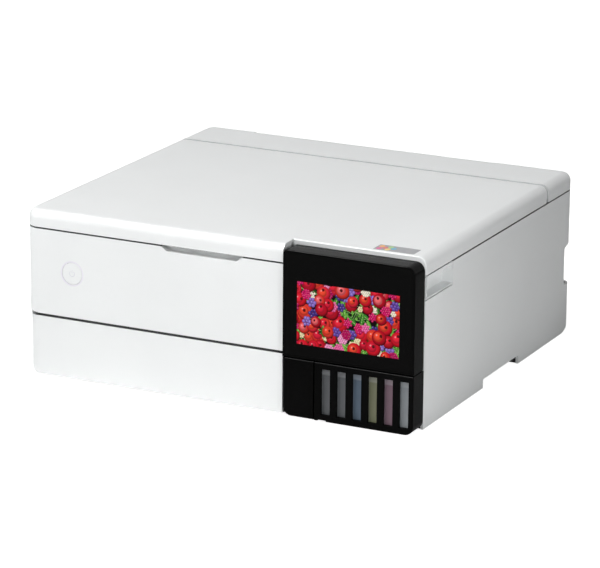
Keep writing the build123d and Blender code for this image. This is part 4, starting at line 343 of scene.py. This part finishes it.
# A new piece from a bmesh in millimetres
def finishPiece(name, shape, materials, body):
    bmesh.ops.recalc_face_normals(shape, faces=shape.faces)
    bmesh.ops.scale(shape, vec=(mm, mm, mm), verts=shape.verts)
    mesh = bpy.data.meshes.new(name)
    shape.to_mesh(mesh)
    shape.free()
    for material in materials:
        mesh.materials.append(material)
    mesh.shade_smooth()
    mesh.set_sharp_from_angle(angle=math.radians(35))
    piece = bpy.data.objects.new(name, mesh)
    bpy.context.scene.collection.objects.link(piece)
    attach(piece, body)
    return piece


def addSlab(shape, low, high, materialIndex=0):
    made = bmesh.ops.create_cube(shape, size=1)["verts"]
    for vert in made:
        vert.co = Vector([(a + b) / 2 + c * (b - a) for a, b, c in zip(low, high, vert.co)])
    for face in {face for vert in made for face in vert.link_faces}:
        face.material_index = materialIndex


# Picture on the screen: a heap of fruit, as bright as a test card. It lies a hair in front of the glass.
# Each cluster has its colours, the draw below which it is picked, its reach, its berries' size and shade.
picture = {"cellMm": 0.42, "pitchMm": 8.2, "seed": 7, "insetMm": 2.0, "proudMm": 0.06, "glow": 0.92,
           "gap": "#12080A", "vein": "#B8DC8C", "dip": "#5A1418",
           "appleShare": 0.40, "appleMm": (5.0, 7.8), "underLeafMm": (4, 7), "leafMm": (4, 6),
           "apples": ("#E0182C", "#EC3A30", "#C01026", "#E8283C"),
           "blush": ("#F04A32", "#E8283C", "#F46A6E", "#D8203A"),
           "leaves": ("#3E8A2C", "#6CB440", "#1C4A1A"),
           "clusters": ((("#F06AA8", "#D81E6A", "#F49AC8", "#B8145C"), 0.64, (3.6, 5.2), 1.15, 0.3),
                        (("#6A4AA8", "#8E70C8", "#4A3486"), 0.78, (3.2, 4.8), 1.7, 0.22),
                        (("#F8F0D8", "#F4E4B4"), 0.90, (2.6, 4.2), 1.0, 0.4))}


# Liquid-crystal screen, lit from behind: it keeps its colours in any light
def pictureMaterial():
    material, tree = newTree("liquidCrystalLit")
    paint = addNode(tree, "ShaderNodeVertexColor", {"layer_name": "paint"})
    closeTree(tree, addNode(tree, "ShaderNodeBsdfPrincipled", None,
                            {"Base Color": (0.0, 0.0, 0.0, 1.0), "Emission Color": paint.outputs[0],
                             "Emission Strength": picture["glow"], "Roughness": 0.15,
                             "Specular IOR Level": 0.05}))
    return material


def paintPicture(width, height, settings):
    countU, countV = int(width / settings["cellMm"]), int(height / settings["cellMm"])
    gridU, gridV = np.meshgrid(np.linspace(0, width, countU), np.linspace(0, height, countV))
    canvas = np.empty((countV, countU, 3))
    canvas[:] = toLinear(settings["gap"])[:3]
    pick = random.Random(settings["seed"])

    def paintBall(u, v, radius, colour, dark=0.3, sheen=0.55):
        away = np.hypot(gridU - u, gridV - v) / radius
        inside = away < 1
        tilt = ((gridV - v) - 0.5 * (gridU - u)) / radius
        light = np.clip(1.05 - 0.75 * away ** 3 + 0.3 * tilt, dark, 1.2)
        canvas[inside] = np.clip(np.array(toLinear(colour)[:3]) * light[inside, None], 0, 1)
        spark = inside & (np.hypot(gridU - u + 0.3 * radius, gridV - v - 0.35 * radius) < 0.17 * radius)
        canvas[spark] = canvas[spark] * (1 - sheen) + sheen

    def paintLeaf(u, v, length, turn, colour):
        du, dv = gridU - u, gridV - v
        along = (du * math.cos(turn) + dv * math.sin(turn)) / length
        beside = (dv * math.cos(turn) - du * math.sin(turn)) / (0.42 * length)
        inside = along ** 2 + np.abs(beside) ** 1.5 < 1
        light = 0.55 + 0.35 * (beside > 0) + 0.25 * np.sin(14 * along + 6 * np.abs(beside))
        canvas[inside] = np.clip(np.array(toLinear(colour)[:3]) * light[inside, None], 0, 1)
        canvas[inside & (np.abs(beside) < 0.07)] = toLinear(settings["vein"])[:3]

    def paintCluster(u, v, radius, ball, colour, dark):
        spots = []
        for row in range(-6, 7):
            for column in range(-6, 7):
                spotU, spotV = (column + row % 2 / 2) * 1.8 * ball, row * 1.55 * ball
                if math.hypot(spotU, spotV) < radius:
                    spots.append((spotU + pick.uniform(-0.2, 0.2) * ball,
                                  spotV + pick.uniform(-0.2, 0.2) * ball))
        pick.shuffle(spots)
        for spotU, spotV in spots:
            paintBall(u + spotU, v + spotV, ball * pick.uniform(0.95, 1.2), colour, dark, 0.35)

    places = []
    pitch = settings["pitchMm"]
    for row in range(-1, int(height / pitch) + 2):
        for column in range(-1, int(width / pitch) + 2):
            places.append(((column + row % 2 / 2 + pick.uniform(-0.3, 0.3)) * pitch,
                           (row + pick.uniform(-0.3, 0.3)) * pitch))
    for u, v in places:
        paintLeaf(u + 3, v + 3, pick.uniform(*settings["underLeafMm"]), pick.uniform(0, 6.28),
                  pick.choice(settings["leaves"]))
    pick.shuffle(places)
    for u, v in places:
        kind = pick.random()
        cluster = next((row for row in settings["clusters"] if kind < row[1]), None)
        if kind < settings["appleShare"]:
            radius = pick.uniform(*settings["appleMm"])
            paintBall(u, v, radius, pick.choice(settings["apples"]), 0.1, 0.45)
            blush = pick.choice(settings["blush"])
            paintBall(u - 0.18 * radius, v + 0.12 * radius, 0.62 * radius, blush, 0.5, 0.3)
            dipU, dipV = u + pick.uniform(-0.3, 0.3) * radius, v + pick.uniform(0.1, 0.5) * radius
            paintBall(dipU, dipV, 0.2 * radius, settings["dip"], 0.4, 0.0)
        elif cluster:
            colours, _, reach, ball, dark = cluster
            paintCluster(u, v, pick.uniform(*reach), ball, pick.choice(colours), dark)
        else:
            for turn in range(3):
                paintLeaf(u, v, pick.uniform(*settings["leafMm"]), turn * 2.1 + pick.random(),
                          pick.choice(settings["leaves"]))
    return canvas


def makePicture(settings):
    low, high = cornersOf("lcd_screen")
    x0, x1 = low[0] + settings["insetMm"], high[0] - settings["insetMm"]
    z0, z1 = low[2] + settings["insetMm"], high[2] - settings["insetMm"]
    y = cornersOf("touch_glass")[0][1] - settings["proudMm"]
    canvas = paintPicture(x1 - x0, z1 - z0, settings)
    countV, countU = canvas.shape[:2]
    verts = [((x0 + (x1 - x0) * i / (countU - 1)) * mm, y * mm, (z0 + (z1 - z0) * j / (countV - 1)) * mm)
             for j in range(countV) for i in range(countU)]
    faces = [(j * countU + i, j * countU + i + 1, (j + 1) * countU + i + 1, (j + 1) * countU + i)
             for j in range(countV - 1) for i in range(countU - 1)]
    mesh = bpy.data.meshes.new("screenPicture")
    mesh.from_pydata(verts, [], faces)
    paint = mesh.color_attributes.new("paint", "FLOAT_COLOR", "POINT")
    colours = np.ones((countV * countU, 4))
    colours[:, :3] = canvas.reshape(-1, 3)
    paint.data.foreach_set("color", colours.ravel())
    mesh.materials.append(pictureMaterial())
    piece = bpy.data.objects.new("screenPicture", mesh)
    bpy.context.scene.collection.objects.link(piece)
    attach(piece, "control_panel")


makePicture(picture)
print("screen picture")

# Power symbol on the button: a screen print, so only a hair proud and a pale grey that barely shows
symbol = {"radiusMm": 2.6, "strokeMm": 0.45, "proudMm": 0.04, "gapDegrees": 70, "steps": 40,
          "barLowMm": 0.6, "barPastRingMm": 0.8}
printGreyLook = {"name": "inkScreenPrintedGrey", "colour": "#D9D9E0", "shade": "#D3D3DB", "driftMm": 4,
                 "grainMm": 0.4, "grainDepthMm": 0.004, "roughness": 0.4, "sockets": {"IOR": 1.5}}
inkScreenPrinted = surfaceMaterial(printGreyLook)


def makeSymbol(settings):
    low, high = cornersOf("power_button")
    middleX, middleZ, face = (low[0] + high[0]) / 2, (low[2] + high[2]) / 2, low[1]
    shape = bmesh.new()
    half = settings["strokeMm"] / 2
    inner, outer = settings["radiusMm"] - half, settings["radiusMm"] + half
    count = settings["steps"]
    gap = math.radians(settings["gapDegrees"])
    rings = []
    for step in range(count + 1):
        turn = math.pi / 2 + gap / 2 + (2 * math.pi - gap) * step / count
        ring = []
        for radius, y in ((inner, face), (outer, face), (outer, face - settings["proudMm"]),
                          (inner, face - settings["proudMm"])):
            ring.append(shape.verts.new((middleX + radius * math.cos(turn), y,
                                         middleZ + radius * math.sin(turn))))
        rings.append(ring)
    for a, b in zip(rings, rings[1:]):
        for i in range(4):
            shape.faces.new((a[i], a[(i + 1) % 4], b[(i + 1) % 4], b[i]))
    shape.faces.new(rings[0])
    shape.faces.new(list(reversed(rings[-1])))
    addSlab(shape, (middleX - half, face - settings["proudMm"], middleZ + settings["barLowMm"]),
            (middleX + half, face, middleZ + settings["radiusMm"] + settings["barPastRingMm"]))
    finishPiece("powerSymbol", shape, [inkScreenPrinted], "power_button")


makeSymbol(symbol)

# Label in its shallow place on the cover: a silver film with patches of colour, each with its place as
# shares of the film's width and length
label = {"rightMm": 14.5, "widthMm": 40.5, "lengthMm": 17.0, "marginMm": 0.15, "behindPanelMm": 5.8,
         "sinkMm": 0.04, "filmMm": 0.2, "printMm": 0.03, "patchMm": (2.6, 3.4), "patchCorners": 24,
         "patches": (("#D8488C", 0.10, 0.28), ("#E8A24C", 0.10, 0.72), ("#D85A5A", 0.22, 0.50),
                     ("#F0D068", 0.31, 0.28), ("#9AC878", 0.31, 0.72), ("#48A8C8", 0.42, 0.50))}
filmLook = {"name": "filmSilverPrinted", "colour": "#9A9A9E", "shade": "#939397", "driftMm": 6,
            "grainMm": 0.5, "grainDepthMm": 0.005, "roughness": 0.35, "sockets": {"IOR": 1.5}}


def makeLabel(settings):
    panelBack = cornersOf("panel_housing")[1][1]
    coverRight, _, top = cornersOf("document_cover")[1]
    right = coverRight - settings["rightMm"]
    x1, x0 = right - settings["marginMm"], right - settings["widthMm"] + settings["marginMm"]
    y0 = panelBack + settings["behindPanelMm"] + settings["marginMm"]
    y1 = y0 + settings["lengthMm"] - 2 * settings["marginMm"]
    materials = [surfaceMaterial(filmLook)]
    shape = bmesh.new()
    plate = top - settings["sinkMm"] - settings["printMm"]
    addSlab(shape, (x0, y0, top - settings["filmMm"]), (x1, y1, plate))
    count = settings["patchCorners"]
    radiusU, radiusV = settings["patchMm"]
    for index, (colour, along, across) in enumerate(settings["patches"]):
        patchLook = dict(filmLook, name="inkOffsetPrinted%d" % index, roughness=0.3,
                         colour=colour, shade=colour)
        materials.append(surfaceMaterial(patchLook))
        u, v = x0 + along * (x1 - x0), y0 + across * (y1 - y0)
        turns = [t * math.pi / (count / 2) for t in range(count)]
        ring = [shape.verts.new((u + radiusU * math.cos(turn), v + radiusV * math.sin(turn), z))
                for z in (plate, plate + settings["printMm"]) for turn in turns]
        faces = [shape.faces.new(ring[count:])]
        for t in range(count):
            after = (t + 1) % count
            faces.append(shape.faces.new((ring[t], ring[after], ring[count + after], ring[count + t])))
        for face in faces:
            face.material_index = index + 1
    finishPiece("coverLabel", shape, materials, "document_cover")


makeLabel(label)
print("button symbol and cover label")


# Camera, with the place and turn that fit the object's own edges
view = {"lensMm": 203.7, "sensorMm": 36, "farM": 50, "place": (1.38135, -2.81344, 0.99210),
        "forward": (-0.42385, 0.86035, -0.28311), "rollDegrees": 0.458}
camera = bpy.data.cameras.new("camera")
camera.lens = view["lensMm"]
camera.sensor_width = view["sensorMm"]
camera.clip_end = view["farM"]
cameraObject = bpy.data.objects.new("camera", camera)
bpy.context.scene.collection.objects.link(cameraObject)
forward = Vector(view["forward"]).normalized()
level = forward.cross(Vector((0, 0, 1))).normalized()
upright = level.cross(forward)
roll = math.radians(view["rollDegrees"])
across = level * math.cos(roll) + upright * math.sin(roll)
above = upright * math.cos(roll) - level * math.sin(roll)
turn = Matrix((across, above, -forward)).transposed().to_4x4()
cameraObject.matrix_world = Matrix.Translation(Vector(view["place"])) @ turn
bpy.context.scene.camera = cameraObject
bpy.context.scene.view_settings.view_transform = "Standard"


# Floor, and the world that stands for the studio's walls. Each lamp has its place, what it points at, its
# size in metres and its power in watts.
studio = {"floorHalf": 12, "floorGlow": 0.93, "ambient": 0.076,
          "lamps": (("softboxFront", (-1.7, -1.7, 0.8), (-0.05, -0.1, 0.08), (1.1, 1.0), 17.6),
                    ("softboxTop", (-0.25, -0.9, 1.8), (0.0, 0.0, 0.1), (1.1, 1.1), 27.7),
                    ("softboxRight", (0.75, -0.5, 0.3), (0.2, -0.12, 0.08), (0.25, 0.25), 1.77),
                    ("stripRim", (-0.46, -0.58, 1.36), (0.13, -0.18, 0.15), (0.7, 0.5), 60))}
floorMesh = bpy.data.meshes.new("floor")
half = studio["floorHalf"]
floorCorners = [(-half, -half, 0), (half, -half, 0), (half, half, 0), (-half, half, 0)]
floorMesh.from_pydata(floorCorners, [], [(0, 1, 2, 3)])
floor = bpy.data.objects.new("floor", floorMesh)
bpy.context.scene.collection.objects.link(floor)
floorPaint, tree = newTree("paperSweepMatt")
path = addNode(tree, "ShaderNodeLightPath")
paint = addNode(tree, "ShaderNodeBsdfDiffuse", None, {"Color": toLinear("#F0F0F0")})
glow = addNode(tree, "ShaderNodeEmission", None, {"Color": (1, 1, 1, 1), "Strength": studio["floorGlow"]})
both = addNode(tree, "ShaderNodeAddShader", None, {0: paint.outputs[0], 1: glow.outputs[0]})
seen = addNode(tree, "ShaderNodeMixShader", None,
               {0: path.outputs["Is Camera Ray"], 1: paint.outputs[0], 2: both.outputs[0]})
closeTree(tree, seen)
floorMesh.materials.append(floorPaint)

world = bpy.data.worlds.new("studio")
bpy.context.scene.world = world
world.use_nodes = True
tree = world.node_tree
tree.nodes.clear()
path = addNode(tree, "ShaderNodeLightPath")
shown = addNode(tree, "ShaderNodeMath", {"operation": "MAXIMUM"},
                {0: path.outputs["Is Camera Ray"], 1: path.outputs["Is Glossy Ray"]})
shown = addNode(tree, "ShaderNodeMath", {"operation": "MAXIMUM"},
                {0: shown.outputs[0], 1: path.outputs["Is Transmission Ray"]})
strength = addNode(tree, "ShaderNodeMapRange", None,
                   {"Value": shown.outputs[0], "To Min": studio["ambient"], "To Max": 1.0})
sky = addNode(tree, "ShaderNodeBackground", None, {"Color": (1, 1, 1, 1), "Strength": strength.outputs[0]})
addNode(tree, "ShaderNodeOutputWorld", None, {"Surface": sky.outputs[0]})


def addSoftbox(name, place, target, size, power):
    lamp = bpy.data.lights.new(name, "AREA")
    lamp.shape = "RECTANGLE"
    lamp.size, lamp.size_y = size
    lamp.energy = power
    lampObject = bpy.data.objects.new(name, lamp)
    bpy.context.scene.collection.objects.link(lampObject)
    lampObject.location = place
    lampObject.rotation_euler = (Vector(target) - Vector(place)).to_track_quat("-Z", "Y").to_euler()
    lampObject.visible_camera = False
    lampObject.visible_diffuse = not name.startswith("strip")  # a strip only draws bright edges


for lampSettings in studio["lamps"]:
    addSoftbox(*lampSettings)
print("camera, floor and light")
